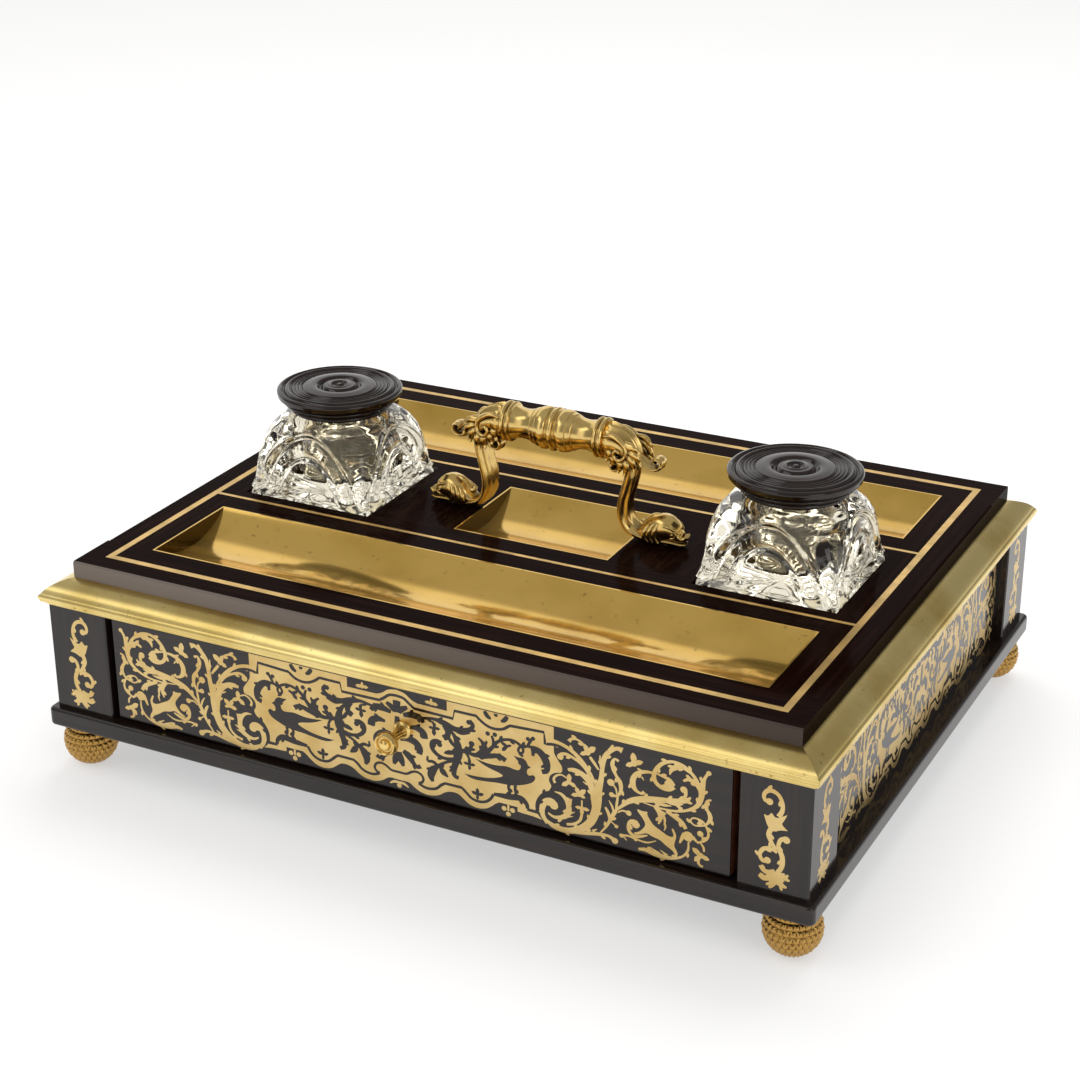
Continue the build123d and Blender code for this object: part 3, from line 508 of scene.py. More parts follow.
def leg_shells():
    """All the cast forms of the right leg, in millimetres from the middle of the cap's surface."""
    strap = [
        (35.0, 0, 44.8, 5.2, 2.4), (38.4, 0, 41.0, 6.2, 2.9), (38.9, 0, 34.0, 6.4, 3.0),
        (37.2, 0, 26.0, 6.5, 3.1), (35.2, 0, 18.0, 6.6, 3.1), (35.4, 0, 10.8, 6.5, 3.0),
        (38.2, 0, 5.8, 6.3, 2.7), (43.5, 0, 3.2, 5.4, 2.4), (50.5, 0, 2.4, 4.8, 2.0),
    ]
    elbow = [
        (25.6, 0, 46.5, 7.4, 7.4), (27.5, 0, 46.5, 8.3, 8.3), (31.0, 0, 46.3, 7.9, 7.6),
        (34.8, 0, 44.8, 7.5, 6.6), (37.6, 0, 41.6, 7.0, 5.4), (38.6, 0, 37.6, 6.2, 4.4),
        (38.7, 0, 34.0, 5.6, 3.2),
    ]
    outer_curl = [
        (38.8, 0, 42.6, 4.6, 1.8), (42.6, 0, 39.6, 5.0, 1.6), (46.6, 0, 37.2, 4.8, 1.4),
        (50.4, 0, 36.4, 4.4, 1.3), (53.0, 0, 38.0, 4.0, 1.2), (52.8, 0, 40.4, 3.8, 1.1),
        (50.8, 0, 41.2, 3.6, 1.0), (49.6, 0, 39.8, 3.4, 1.0), (50.6, 0, 38.9, 3.2, 0.9),
    ]
    inner_curl = [
        (36.6, 0, 41.0, 4.8, 2.0), (34.6, 0, 36.6, 4.8, 1.6), (32.4, 0, 33.4, 4.4, 1.5),
        (29.6, 0, 32.8, 4.2, 1.4), (28.4, 0, 35.0, 4.0, 1.3), (29.8, 0, 36.8, 3.8, 1.2),
        (31.4, 0, 35.8, 3.6, 1.1),
    ]
    shells = [
        carried(strap, 32, groove=0.35),
        carried(elbow, 84, ribs=12, rib_depth=0.3),
        carried(outer_curl, 28, ribs=7, rib_depth=0.3),
        carried(inner_curl, 28, ribs=7, rib_depth=0.3),
    ]
    shells += leg_leaves() + foot_shells()
    return shells


def leg_leaves():
    """Acanthus on both flanks of the elbow: a scroll that curls in on itself, and below and beyond it
    tapering lobes, each a short curved leaf, its tip rolled out."""
    shells = []
    scroll = [
        (26.8, 6.3, 49.8, 1.0, 1.0), (30.4, 6.5, 50.6, 1.3, 1.2), (34.6, 6.7, 49.2, 1.5, 1.3),
        (37.8, 6.7, 45.8, 1.5, 1.3), (37.6, 6.9, 41.6, 1.4, 1.2), (34.4, 7.2, 39.8, 1.3, 1.1),
        (32.2, 7.5, 42.0, 1.2, 1.0), (33.4, 7.7, 44.4, 1.0, 0.9), (35.0, 7.5, 43.4, 0.8, 0.8),
    ]
    lobes = [
        ((29.0, 45.0), (29.6, 41.2), (28.0, 38.2)),
        ((31.0, 41.8), (31.6, 38.8), (30.4, 36.0)),
        ((34.0, 40.0), (35.2, 36.8), (34.0, 33.4)),
        ((37.0, 40.6), (38.4, 36.6), (37.2, 32.2)),
        ((38.4, 43.0), (41.6, 39.2), (42.0, 35.2)),
        ((38.6, 45.4), (43.4, 42.2), (45.6, 38.4)),
        ((36.8, 48.0), (42.0, 46.2), (45.2, 43.2)),
    ]
    for flank in (-1, 1):
        shells.append(carried([(x, flank * y, *others) for x, y, *others in scroll], 12))
        for root, middle, tip in lobes:
            leaf = [
                (root[0], flank * 5.6, root[1], 1.5, 1.1),
                ((root[0] + middle[0]) / 2 + 0.4, flank * 6.7, (root[1] + middle[1]) / 2, 1.9, 1.2),
                (middle[0], flank * 6.8, middle[1], 1.7, 1.0),
                ((middle[0] + tip[0]) / 2, flank * 6.3, (middle[1] + tip[1]) / 2, 1.3, 0.8),
                (tip[0], flank * 6.8, tip[1], 0.6, 0.5),
            ]
            shells.append(carried(leaf, 12, across=(1, 0, 0), step=0.6))
    return shells


def foot_shells():
    """The foot: a domed head, an open snout, a brow and ring round each eye, gills and a fin."""
    head = [
        (43.0, 0, 3.4, 4.4, 2.6), (47.0, 0, 5.0, 5.4, 4.4), (51.5, 0, 7.2, 6.1, 6.4),
        (55.6, 0, 7.9, 6.2, 7.0), (59.2, 0, 6.9, 5.2, 5.4), (62.2, 0, 5.2, 3.9, 3.2),
        (64.6, 0, 4.6, 3.2, 1.9), (66.2, 0, 6.0, 2.6, 0.9),
    ]
    jaw = [
        (55.0, 0, 2.6, 4.8, 2.2), (60.0, 0, 2.2, 3.8, 1.7), (63.6, 0, 1.7, 3.0, 1.2),
        (66.0, 0, 2.0, 2.2, 0.7),
    ]
    fin = [
        (53.0, 0, 13.2, 1.4, 1.6), (50.0, 0, 12.0, 1.9, 2.2), (47.2, 0, 9.4, 2.4, 2.2),
        (44.6, 0, 8.2, 2.2, 1.6), (42.8, 0, 9.4, 1.6, 0.8),
    ]
    shells = [carried(head, 32, ribs=9, rib_depth=0.05), carried(jaw, 20), carried(fin, 20)]
    for flank in (-1, 1):
        shells.append(ball_at(60.0, flank * 4.0, 6.9, 1.1))
        ring = np.linspace(0, 2 * np.pi, 9)
        eye = [(60.0 + 2.1 * np.cos(a), flank * 4.1, 6.9 + 1.9 * np.sin(a), 0.6, 0.6) for a in ring]
        shells.append(carried(eye, 10, step=0.4))
        brow = [
            (62.8, flank * 3.2, 7.6, 0.6, 0.6),
            (60.2, flank * 4.2, 9.8, 1.0, 0.9),
            (56.4, flank * 5.0, 10.8, 0.7, 0.6),
        ]
        shells.append(carried(brow, 10))
        for start, lift in ((52.6, 0.0), (50.0, -0.6), (47.6, -1.4)):
            gill = [
                (start + 1.6, flank * 4.6, 11.4 + lift, 0.7, 0.8),
                (start - 0.4, flank * 6.0, 8.2 + lift, 1.3, 1.0),
                (start - 0.4, flank * 6.1, 4.6 + lift / 2, 1.2, 0.9),
                (start + 1.4, flank * 5.6, 2.0, 0.6, 0.6),
            ]
            shells.append(carried(gill, 12, across=(1, 0, 0), step=0.6))
    return shells


cap_middle = (0, case_y, cap_top)
leg_brass = gilt_brass("handle_brass_cast", "#eecb7e", "#35200c", 0.2, 0.0034)
for side, sign in (("left", -1), ("right", 1)):
    shells = [placed(shell, cap_middle, sign) for shell in leg_shells()]
    for points, _ in shells:
        points[:, 2] = np.maximum(points[:, 2], cap_top)
    add_piece(f"cast_leg_{side}", shells, "case", leg_brass, 50, [f"handle_leg_{side}"])


# Inkwells: thick blown glass with a square foot, cut on the wheel. Every face has two nested arches,
# every corner a tall petal, and the shoulders flutes; the round neck goes up inside the lid.
def clear_glass(name):
    """Old clear glass, faintly warm: a painted reflection of the brass round it. Its polish is softened by
    wear, and it bends light at every cut.
    """
    # The warm base colour is a painted reflection of the brass round the glass.
    clear = {"Transmission Weight": 1.0, "IOR": 1.5, "Roughness": 0.06, "Base Color": to_linear("#f4edd9")}
    finish, tree, place = new_finish(name, clear)
    seeds = stretched_noise(tree, place, (4.55, 4.55, 4.55), 1.0)
    bump = add_node(tree, "Bump", {"Strength": 0.012, "Distance": 0.0003}, {"Height": seeds})
    return linked(finish, {"Normal": bump})


def eased(value):
    """Smooth step: 3t² - 2t³ of the value held between 0 and 1."""
    t = np.clip(value, 0, 1)
    return t * t * (3 - 2 * t)


def below_arch(u, z, rise, half_width):
    """How far a point lies below an arch: 3 plus the rise times 1 less the power 2.3 of u over the half
    width, less z, all over the length of the arch's slope there."""
    share = np.abs(u / half_width)
    return (3 + rise * (1 - share**2.3) - z) / np.sqrt(1 + (2.3 * share**1.3) ** 2)


def cut_glass_body(columns=288):
    """The whole glass as one shell, from the middle of its foot up the outside, over the rim and down
    the inside. Outside, a ray at an angle leaves a rounded square whose power falls from foot to neck;
    the cuts move it in or out by how far the point lies from each arch. Underneath is a star of
    sixteen grooves, 1 less the size of the sine of eight times the angle deep, deeper outwards, which
    throws the light back up."""
    foot_half = 33.5
    turn = (np.arange(columns) / columns * 2 * np.pi)[None, :]
    keys = np.array(
        [
            (0.0, foot_half, 16.0), (1.6, foot_half, 16.0), (2.6, 32.9, 14.0), (7.0, 31.9, 10.0),
            (14.0, 31.6, 7.5), (21.0, 32.0, 5.6), (27.0, 31.6, 4.2), (32.0, 30.0, 3.3), (36.0, 27.0, 2.7),
            (38.6, 22.4, 2.2), (39.5, 18.0, 2.0),
        ]
    )
    heights = np.concatenate([[0, 1.0, 2.0], np.linspace(2.4, 39.5, 84)])
    half = np.interp(heights, keys[:, 0], keys[:, 1])[:, None]
    power = np.interp(heights, keys[:, 0], keys[:, 2])[:, None]
    z = heights[:, None]
    sharp = (np.abs(np.cos(turn)) ** power + np.abs(np.sin(turn)) ** power) ** (-1 / power)
    quarter = (turn + np.pi / 4) % (np.pi / 2) - np.pi / 4
    u = np.tan(quarter)
    above_foot = eased((z - 2.6) / 2.0) * eased((38.5 - z) / 3.0)
    to_outer, to_inner = below_arch(u, z, 31, 0.93), below_arch(u, z, 21, 0.6)
    ridge = 0.9 * np.exp(-((to_outer + 0.8) ** 2) / 1.6) - 1.5 * np.exp(-((to_outer - 1.6) ** 2) / 1.6)
    panel = -0.7 * eased(to_outer / 3.0) + 1.3 * eased(to_inner / 3.2) - 0.9 * np.exp(-(to_inner**2) / 1.1)
    petal = 1.3 * np.exp(-(((np.abs(u) - 1.0) / 0.1) ** 2)) * eased((26 - z) / 14)
    seam = -np.exp(-(((np.abs(u) - 0.8) / 0.055) ** 2)) * eased((22 - z) / 12)
    flutes = -0.6 * (0.5 - 0.5 * np.cos(16 * turn)) * eased((z - 24) / 5) * eased(-to_outer / 1.5)
    ring = half * sharp + (ridge + panel + petal + seam + flutes) * above_foot
    ring = np.minimum(ring, foot_half / np.maximum(np.abs(np.cos(turn)), np.abs(np.sin(turn))))
    share = np.linspace(0, 1, 34)[:, None]
    under_x, under_y = share * ring[:1] * np.cos(turn), share * ring[:1] * np.sin(turn)
    groove = 1 - np.abs(np.sin(8 * turn))
    star = groove * share * eased((1 - share) / 0.08)
    under = np.stack([under_x, under_y, star], axis=-1)[:-1]
    outside = np.stack([ring * np.cos(turn), ring * np.sin(turn), z + 0 * turn], axis=-1)
    inner = np.array(
        [
            (15.2, 39.7), (15.0, 40.2), (15.0, 43.1), (14.6, 43.5), (11.4, 43.5), (11.0, 43.1),
            (11.0, 37.0), (12.5, 35.2), (16.5, 32.5), (19.2, 29.4), (20.0, 26.0), (20.0, 12.0),
            (19.2, 9.4), (17.0, 8.2), (9.0, 8.0), (0.0, 8.0),
        ]
    )
    radius, height = inner[:, :1], inner[:, 1:] + 0 * turn
    inside = np.stack([radius * np.cos(turn), radius * np.sin(turn), height], axis=-1)
    return lattice(np.concatenate([under, outside, inside]))


glass = clear_glass("lead_glass_cut")
for side in ("left", "right"):
    low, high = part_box(f"inkwell_{side}")
    well_middle = ((low.x + high.x) / 2, case_y, low.z)
    shell = placed(cut_glass_body(), well_middle)
    add_piece(f"cut_glass_{side}", [shell], f"{side}_inkwell", glass, 60, [f"inkwell_{side}"])


# Lids: ebony turned on the lathe, with a rounded rim, a top of rings that rises to a low boss, and a
# stepped collar below. They are waxed, so the rings shine softly.
def waxed_ebony(name):
    """Turned ebony under wax: brown black, streaked, a soft shine on turning marks 0.4 mm apart."""
    finish, tree, place = new_finish(name, {"Specular IOR Level": 0.5})
    figure = stretched_noise(tree, place, (33.3, 3.33, 3.33))
    streaks = add_node(tree, "MapRange", {"From Min": 0.4, "From Max": 0.7}, {0: figure})
    wood = add_node(tree, "Mix", two_colours("#150c07", "#261810"), {0: streaks}, 2)
    marks = stretched_noise(tree, place, (2, 2, 0.4), 2.0)
    waxed = {"From Min": 0.3, "From Max": 0.7, "To Min": 0.08, "To Max": 0.13}
    shine = add_node(tree, "MapRange", waxed, {0: marks})
    bump = add_node(tree, "Bump", {"Strength": 0.02, "Distance": 0.0003}, {"Height": marks})
    return linked(finish, {"Base Color": wood, "Roughness": shine, "Normal": bump})


def lid_profile():
    """From the hollow's ceiling down, out round collar, band and rim, and in over the ringed top. The
    top rises smoothly from the rim to the boss; each ring is a bell-shaped groove or bead on it."""
    below = [(0, 7.5), (15.5, 7.5), (15.5, 0), (22.4, 0)]
    rings = [
        arc((22.8, 0.1), (24.3, 1.1), (24.0, 2.4), 9),
        arc((24.2, 2.7), (24.0, 3.0), (24.6, 3.3), 4),
        arc((25.2, 3.4), (27.2, 4.5), (26.6, 5.8), 9),
        arc((26.3, 6.0), (26.2, 6.2), (26.9, 6.4), 4),
    ]
    underside = arc((27.4, 6.5), (29.4, 6.9), (29.9, 8.3), 10)
    rim = np.vstack([underside, arc((29.9, 8.3), (29.8, 10.0), (28.2, 10.7), 10)[1:]])
    radius = np.linspace(27.9, 0, 300)
    height = 10.6 + 0.8 * eased((27.0 - radius) / 17.0)
    rim_rings = [(27.0, 0.7, -1.2), (25.0, 0.8, 0.4), (23.4, 0.6, -0.9)]
    fine_rings = [(21.6, 0.5, -0.7), (19.9, 0.5, -0.7), (18.2, 0.6, -0.9)]
    boss_rings = [(13.5, 2.6, 0.35), (9.3, 1.2, -1.7), (7.2, 0.8, 0.2)]
    for middle, width, rise in rim_rings + fine_rings + boss_rings:
        height = height + rise * np.exp(-(((radius - middle) / width) ** 2))
    height = height + 0.5 * eased((7.0 - radius) / 3.0) - 1.1 * eased((4.4 - radius) / 1.6)
    height = height + 1.1 * eased((2.2 - radius) / 1.4)
    return np.vstack([below, *rings, rim, np.stack([radius, np.minimum(height, 12.0)], axis=-1)])


lid_ebony = waxed_ebony("ebony_turned_waxed")
for side in ("left", "right"):
    low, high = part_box(f"lid_{side}")
    lid_middle = ((low.x + high.x) / 2, case_y, low.z)
    shell = placed(turned(lid_profile(), sides=128), lid_middle)
    add_piece(f"turned_lid_{side}", [shell], f"{side}_lid", lid_ebony, 45, [f"lid_{side}"])


# Knob: a turned brass button with a ring and a small dome on its face, screwed on through the front.
# It is finished like the grip, and its profile is stretched to the CAD knob's reach.
knob_low, knob_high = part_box("drawer_knob")
knob_reach = (knob_high.y - knob_low.y) / MM
knob_profile = np.vstack(
    [
        [(0, 0), (4.3, 0), (4.3, 0.9), (3.9, 1.5), (3.0, 1.9)],
        arc((3.0, 1.9), (2.2, 6.0), (2.9, 10.6), 10)[1:],
        [(3.9, 11.0), (3.9, 11.5)],
        arc((4.1, 11.6), (5.3, 13.2), (4.9, 15.3), 10),
        arc((4.9, 15.3), (4.5, 16.1), (3.9, 15.7), 6)[1:],
        [(3.5, 15.0), (2.6, 15.0)],
        arc((2.45, 15.2), (1.8, 16.5), (0, 17.0), 8),
    ]
)
knob_base = (0, knob_high.y, (knob_low.z + knob_high.z) / 2)
knob = placed(turned(knob_profile * [1, -knob_reach / knob_profile[-1, 1]], "y", 56), knob_base)
add_piece("turned_knob", [knob], "drawer", handle_brass, 35, ["drawer_knob"])


# Marquetry sheets: ebony and brass sawn together and glued down, then scraped flush and polished.
# The drawer, both sides and the back carry one design: a strapwork cartouche of brass with birds in
# ebony, and at each end an arabesque of brass vines with a hound.

# The design's right half in millimetres from the middle and the foot of a sheet, of which this half is
# 149.7 by 52.5; turned over, it is the left half too. A vine is a list of (across, up, width), an
# outline one of (across, up), and a doubled point is a corner.
END_VINES = [
    [(72, 3, 2.2), (69.8, 6.5, 2.6), (69.6, 10.5, 3.2), (71.2, 13.8, 3.6), (74, 14.6, 3.8), (75.6, 13, 4)],
    [(71, 4.6, 1.6), (75, 2.4, 3), (81, 1.9, 3.4), (87, 4.2, 4), (91.5, 8.5, 4.4), (94, 14, 4.6),
     (95, 20, 4.8), (95.6, 26, 4), (96.8, 32, 2.8), (97.3, 38, 2.4), (98.3, 43, 2.8), (101, 47, 2.4),
     (104.5, 48.9, 2.4), (106.2, 48.4, 3.6)],
    [(98.5, 43, 1.6), (99.5, 46, 1.2), (100.8, 48.5, 0.6)],
    [(97.3, 36, 1.6), (96.3, 40, 1.2), (96.2, 43.5, 0.6)],
    [(95.3, 25, 0.8), (93, 31.5, 1.2), (89.5, 36.8, 1.8), (85, 41, 2.4), (80, 43.6, 2.6), (75, 44.6, 2.8),
     (72.5, 44.6, 2.8)],
    [(94.2, 26, 0.6), (91.5, 32, 1), (88, 36.5, 1.3), (84, 39, 1.5), (80.5, 40, 1.7), (78.3, 39.2, 2),
     (77.6, 37.6, 2.6)],
    [(93.8, 18, 3), (93.2, 24, 3.6), (91, 29.5, 3.4), (87.5, 32.3, 3), (84, 33, 2.6), (81.5, 32.6, 1.6)],
    [(90.5, 27.5, 1.2), (88.5, 28.5, 0.5)],
    [(81, 28.2, 0.8), (78.5, 29.2, 1), (76, 28, 1.2), (74.9, 26, 1.4), (75.6, 24.3, 1.5)],
    [(88, 19, 0.9), (88, 16, 0.9)],
    [(88, 12, 1.5), (87.3, 9, 1.5), (84.5, 6.2, 1.5), (81, 5, 1.5)],
    [(75.3, 19.9, 0.5), (78.2, 19.6, 1.6), (80.8, 17.3, 2.4), (82, 13.8, 3), (81.2, 10, 3.2),
     (78, 7.6, 2.4), (74.5, 7.2, 1.6), (72.3, 8.4, 1)],
    [(82.2, 14, 2), (83.4, 18.6, 0.3)],
    [(81.5, 10.5, 2), (84.8, 12.2, 0.3)],
    [(80, 8.6, 2), (84, 9.8, 0.3)],
    [(84, 1.6, 1), (90, 3, 2), (96, 4.3, 2), (101, 4.4, 1.8), (103.6, 2.8, 2.8)],
    [(93, 5, 1.6), (95, 6.5, 0.4)],
    [(96.5, 5, 0.8), (99.5, 9.5, 1.4), (101.5, 14, 2), (103.5, 18.3, 2.4)],
    [(103.5, 18.3, 1.2), (106.5, 21.5, 1.8), (109.5, 24.5, 2.8), (115, 27, 3.6), (122, 28.7, 3.4),
     (129, 30.3, 2.4), (133, 32, 1.6), (134.6, 34.5, 1.8), (134.3, 36.5, 2.4)],
    [(129.5, 30.6, 1), (133, 31.2, 3), (135.6, 32.4, 2.4), (136.8, 34, 0.6)],
    [(125, 29, 1), (129, 29, 2.4), (132, 29.2, 1.6), (133.6, 29.6, 0.4)],
    [(121, 27, 1), (125, 27, 1.8), (128.4, 27.4, 0.4)],
    [(116, 25.6, 0.6), (124, 25, 1), (131, 25.6, 1.4), (136, 27.6, 1.6), (140, 31, 2.4), (141.5, 36, 3),
     (141.8, 41, 3), (142.8, 45, 1.6), (144.3, 47.8, 1.6)],
    [(141, 37, 2), (140, 41.5, 1.6), (137, 45.5, 1.8), (133, 48.4, 1.6), (129, 49, 1.6), (125, 47.6, 2),
     (121.7, 44, 2.2), (120.4, 40, 2.4), (121.2, 37.2, 2.2), (124, 35.3, 2.4), (127.3, 35.6, 3.2),
     (128.8, 37.3, 4)],
    [(140.6, 38, 1), (138.6, 41.4, 2.4), (135.6, 42.3, 2), (133.4, 41, 1.2)],
    [(136.5, 45.4, 1), (133, 47.4, 2.4), (130, 46.6, 3), (128, 44.8, 2.2), (127.4, 42.4, 0.5)],
    [(120.8, 41.6, 0.8), (124, 40.8, 1.2), (127.5, 39.8, 2), (129.3, 37.5, 2)],
    [(121, 41.3, 1), (117, 41, 1.8), (113.5, 39.5, 2.4), (111.2, 36, 3), (111.3, 32.5, 3),
     (113, 30.4, 1.8), (115.5, 30, 1.6), (116.2, 31, 2.2)],
    [(115, 38, 1.2), (116, 36.6, 0.4)],
    [(113, 41.6, 1), (115, 41, 1)],
    [(104.6, 42.8, 1.6), (103, 43.6, 1.2), (101.9, 41.5, 2.2), (102.2, 38.5, 2.2), (103.6, 35.5, 1.6),
     (105.2, 33, 2.4), (105.8, 29.5, 2), (104.8, 26.5, 1.6), (103, 25.3, 1.6), (101.6, 25.8, 2)],
    [(104.5, 26, 1), (104, 22, 1.4), (103.6, 18, 1)],
    [(101.6, 31, 0.8), (103.3, 29.5, 1), (104, 26.5, 0.8)],
    [(100.4, 22.4, 0.5), (101.8, 20, 1.2), (102.8, 16.5, 1)],
    [(98.8, 18.6, 1.2), (100.2, 16, 1.8), (100.9, 12, 1)],
    [(104.5, 17.6, 0.8), (106.6, 19.1, 1), (109, 18.8, 1.4)],
    [(101, 12.5, 0.6), (104, 10.4, 1)],
    [(113.6, 13.2, 2.6), (112.8, 14.9, 2.6), (110.6, 14.8, 2.4), (109.4, 12.4, 2), (109.8, 9.6, 1.8),
     (112, 7.9, 2), (115, 8.6, 1.6), (118, 10, 0.8)],
    [(106, 6.6, 1.4), (109, 7.2, 1.2), (113, 6.6, 1), (118, 6.4, 1), (122, 8.4, 0.4)],
    [(107, 6.4, 0.9), (108.8, 4.8, 0.5)],
    [(136.3, 12, 0.8), (136.2, 8, 1.2), (134, 4.2, 1.2), (130.5, 2.2, 1.6), (126, 1.4, 2.6), (121, 1.8, 3),
     (117, 2.6, 2.2), (114, 2, 1.4)],
    [(123.5, 2.2, 2), (119, 4.6, 0.3)],
    [(127, 2.4, 1.8), (123.8, 4.4, 0.3)],
    [(126, 24, 1), (130, 22.6, 2.4), (133.4, 20.4, 2.4), (135, 18, 2)],
    [(134.5, 15.5, 2.4), (133.2, 12.5, 1.8), (132.4, 10.3, 0.8)],
    [(136.6, 14, 1), (137, 12, 0.8)],
    [(138, 15, 2), (139.6, 13.4, 1.4), (140.8, 12.4, 0.8)],
    [(145.8, 35, 1), (144.4, 34.6, 1.2), (143.6, 32, 2), (144, 29.5, 2)],
    [(144, 30, 1.4), (145.2, 28, 2.2), (145.6, 26, 2.4), (144.8, 24, 1.6), (143.6, 22.4, 1.2),
     (141.5, 21.4, 1), (138.5, 21, 0.9), (137, 22.4, 0.9), (137.6, 24, 0.9), (140, 24.4, 1),
     (142.4, 23.6, 1), (144.2, 21, 1.2), (145, 18, 1.3), (144, 15.2, 1.3), (142, 13.6, 1.2),
     (140, 12.8, 1)],
    [(141.4, 17.4, 1), (142.6, 15.5, 1), (142, 13.5, 0.8)],
    [(141.5, 13, 0.8), (143, 11, 1.2), (143.2, 9, 1)],
    [(141, 5, 1.6), (140.8, 3, 1.6), (142, 1.6, 1.4), (143, 1.6, 1.2)],
    [(121, 25.4, 2), (123.5, 22.5, 3.2), (123.6, 19.5, 2), (122.8, 17, 0.8)],
    [(124.5, 22.5, 1.6), (125.6, 20, 1.4), (125.4, 17, 0.6)],
    [(125.4, 19, 0.6), (126, 16.5, 1), (125.4, 14.4, 0.4)],
    [(91, 44.4, 1.4), (88.5, 47, 1.2), (85.5, 48.5, 1.2), (83, 48, 1.6), (82, 46.6, 2.2)],
    [(91.6, 41.5, 1.6), (94, 38.4, 1.6), (95.6, 36.2, 1)],
    [(53.4, 7, 1.2), (53.4, 4, 1.2)],
    [(0, 4, 1.4), (2.4, 4, 1.6), (4.6, 2.6, 0.8)],
]
# Round buds of brass (across, up, radius), and flowers: middle, its radius, and the tips of the petals
END_BUDS = [
    (75, 12.8, 2), (78, 38, 1.5), (103.3, 3, 1.5), (133.7, 36.8, 1.6), (144.4, 47.6, 1.1),
    (127.3, 37.6, 2.2), (101.2, 31.5, 1.7), (101.6, 25.6, 1.2), (109.4, 18.6, 1.3), (103.9, 10.4, 0.9),
    (112.6, 13.8, 1.8), (106.2, 6.5, 1), (136, 14.6, 2.4), (141.4, 17.4, 1.4), (51.4, 4.8, 1.2),
    (55.4, 4.8, 1.2), (53.4, 2.4, 1.2), (0, 2.4, 1.2),
]
END_FLOWERS = [
    (82, 26.5, 1.2, [(82.2, 30.6), (78.8, 24), (85.3, 25)]),
    (86.7, 21.5, 1.1, [(85.2, 25), (89.6, 24.6), (83.2, 20.4), (89.6, 20.6)]),
    (88, 15, 1.1, [(85, 15), (91.4, 15), (88, 11.6)]),
    (111.5, 43.6, 1.5, [(111, 48.6), (107.9, 41.6), (115.4, 45.4)]),
    (141.8, 6.8, 1.4, [(138.2, 9.6), (145.6, 5.6), (139.2, 3.4)]),
    (90.4, 43.4, 1.5, [(94, 46.8), (87.2, 41.6), (89.2, 47.2)]),
    (17, 49, 1.1, [(14, 49), (20.2, 48.7), (17, 51.2)]),
]
HOUND = [
    (113.2, 21.9), (115.5, 21.2), (118, 21.8), (117.6, 20.3), (119, 18), (120.5, 15.8), (124, 14),
    (127, 12.3), (129.2, 12.2), (129.8, 13.4), (128.6, 16.2), (129.4, 16.8), (131, 13.6), (130.4, 10.6),
    (129.8, 8.2), (131.6, 5.4), (131.6, 3.2), (130.2, 4), (129.6, 5.6), (126.4, 7.2), (123.8, 9.4),
    (120, 10), (117.6, 11.2), (115, 9.6), (112.6, 8.7), (111.6, 9.6), (114, 10.5), (116.2, 13),
    (117.2, 15.4), (115.4, 18.4), (113.4, 20.6), (113.2, 21.9),
]
CARTOUCHE = [
    (0, 51.4), (4.2, 50.4), (7.4, 48), (10, 47), (10, 47), (24.6, 46.9), (24.6, 46.9), (24.6, 51.8),
    (24.6, 51.8), (75, 51.8), (75, 51.8), (75, 42.2), (75, 42.2), (75.2, 39), (77.2, 35.6), (78.8, 33),
    (78.6, 30.4), (75.6, 29.4), (73.2, 27.2), (72.8, 24.4), (73.8, 22.4), (72.6, 19.6), (69.6, 17),
    (67.3, 14), (66.7, 10.5), (67.4, 6.4), (69.5, 4), (69.5, 4), (65, 4.6), (59.5, 4.8), (57.8, 5),
    (57.8, 5), (57.8, 7.2), (57.8, 7.2), (49.2, 7.2), (49.2, 7.2), (47.5, 6.2), (45.6, 4.4), (42, 2),
    (38.4, 1.4), (34.6, 2.2), (31.6, 4.4), (29.4, 6), (25.6, 6.2), (22.6, 5), (20, 3), (16, 1.6),
    (12, 1.6), (8.4, 3), (5.4, 5.2), (0, 5.4),
]
BIRD = [
    (64.6, 28.8), (62.7, 28), (62.2, 25.6), (63.4, 24.4), (65.2, 25.6), (66.6, 24.4), (65.4, 21.8),
    (62, 19.8), (58.4, 18.4), (56, 17.6), (53, 17.2), (48, 17), (42, 16), (36, 15.6), (32.4, 17.4),
    (32.4, 17.4), (37, 17.4), (43, 18), (48, 19.4), (51.6, 21.2), (49, 22.4), (45, 23.2), (41, 24.6),
    (38, 26.4), (38, 26.4), (43, 25.6), (48, 25.6), (53, 26.6), (56, 26), (58.4, 25.8), (59.6, 27.4),
    (59.4, 29.4), (57.8, 31), (56.2, 32.8), (56.2, 32.8), (58.4, 32.4), (60.4, 32.8), (62.3, 31.4),
    (62.8, 29.6), (64.6, 28.8),
]
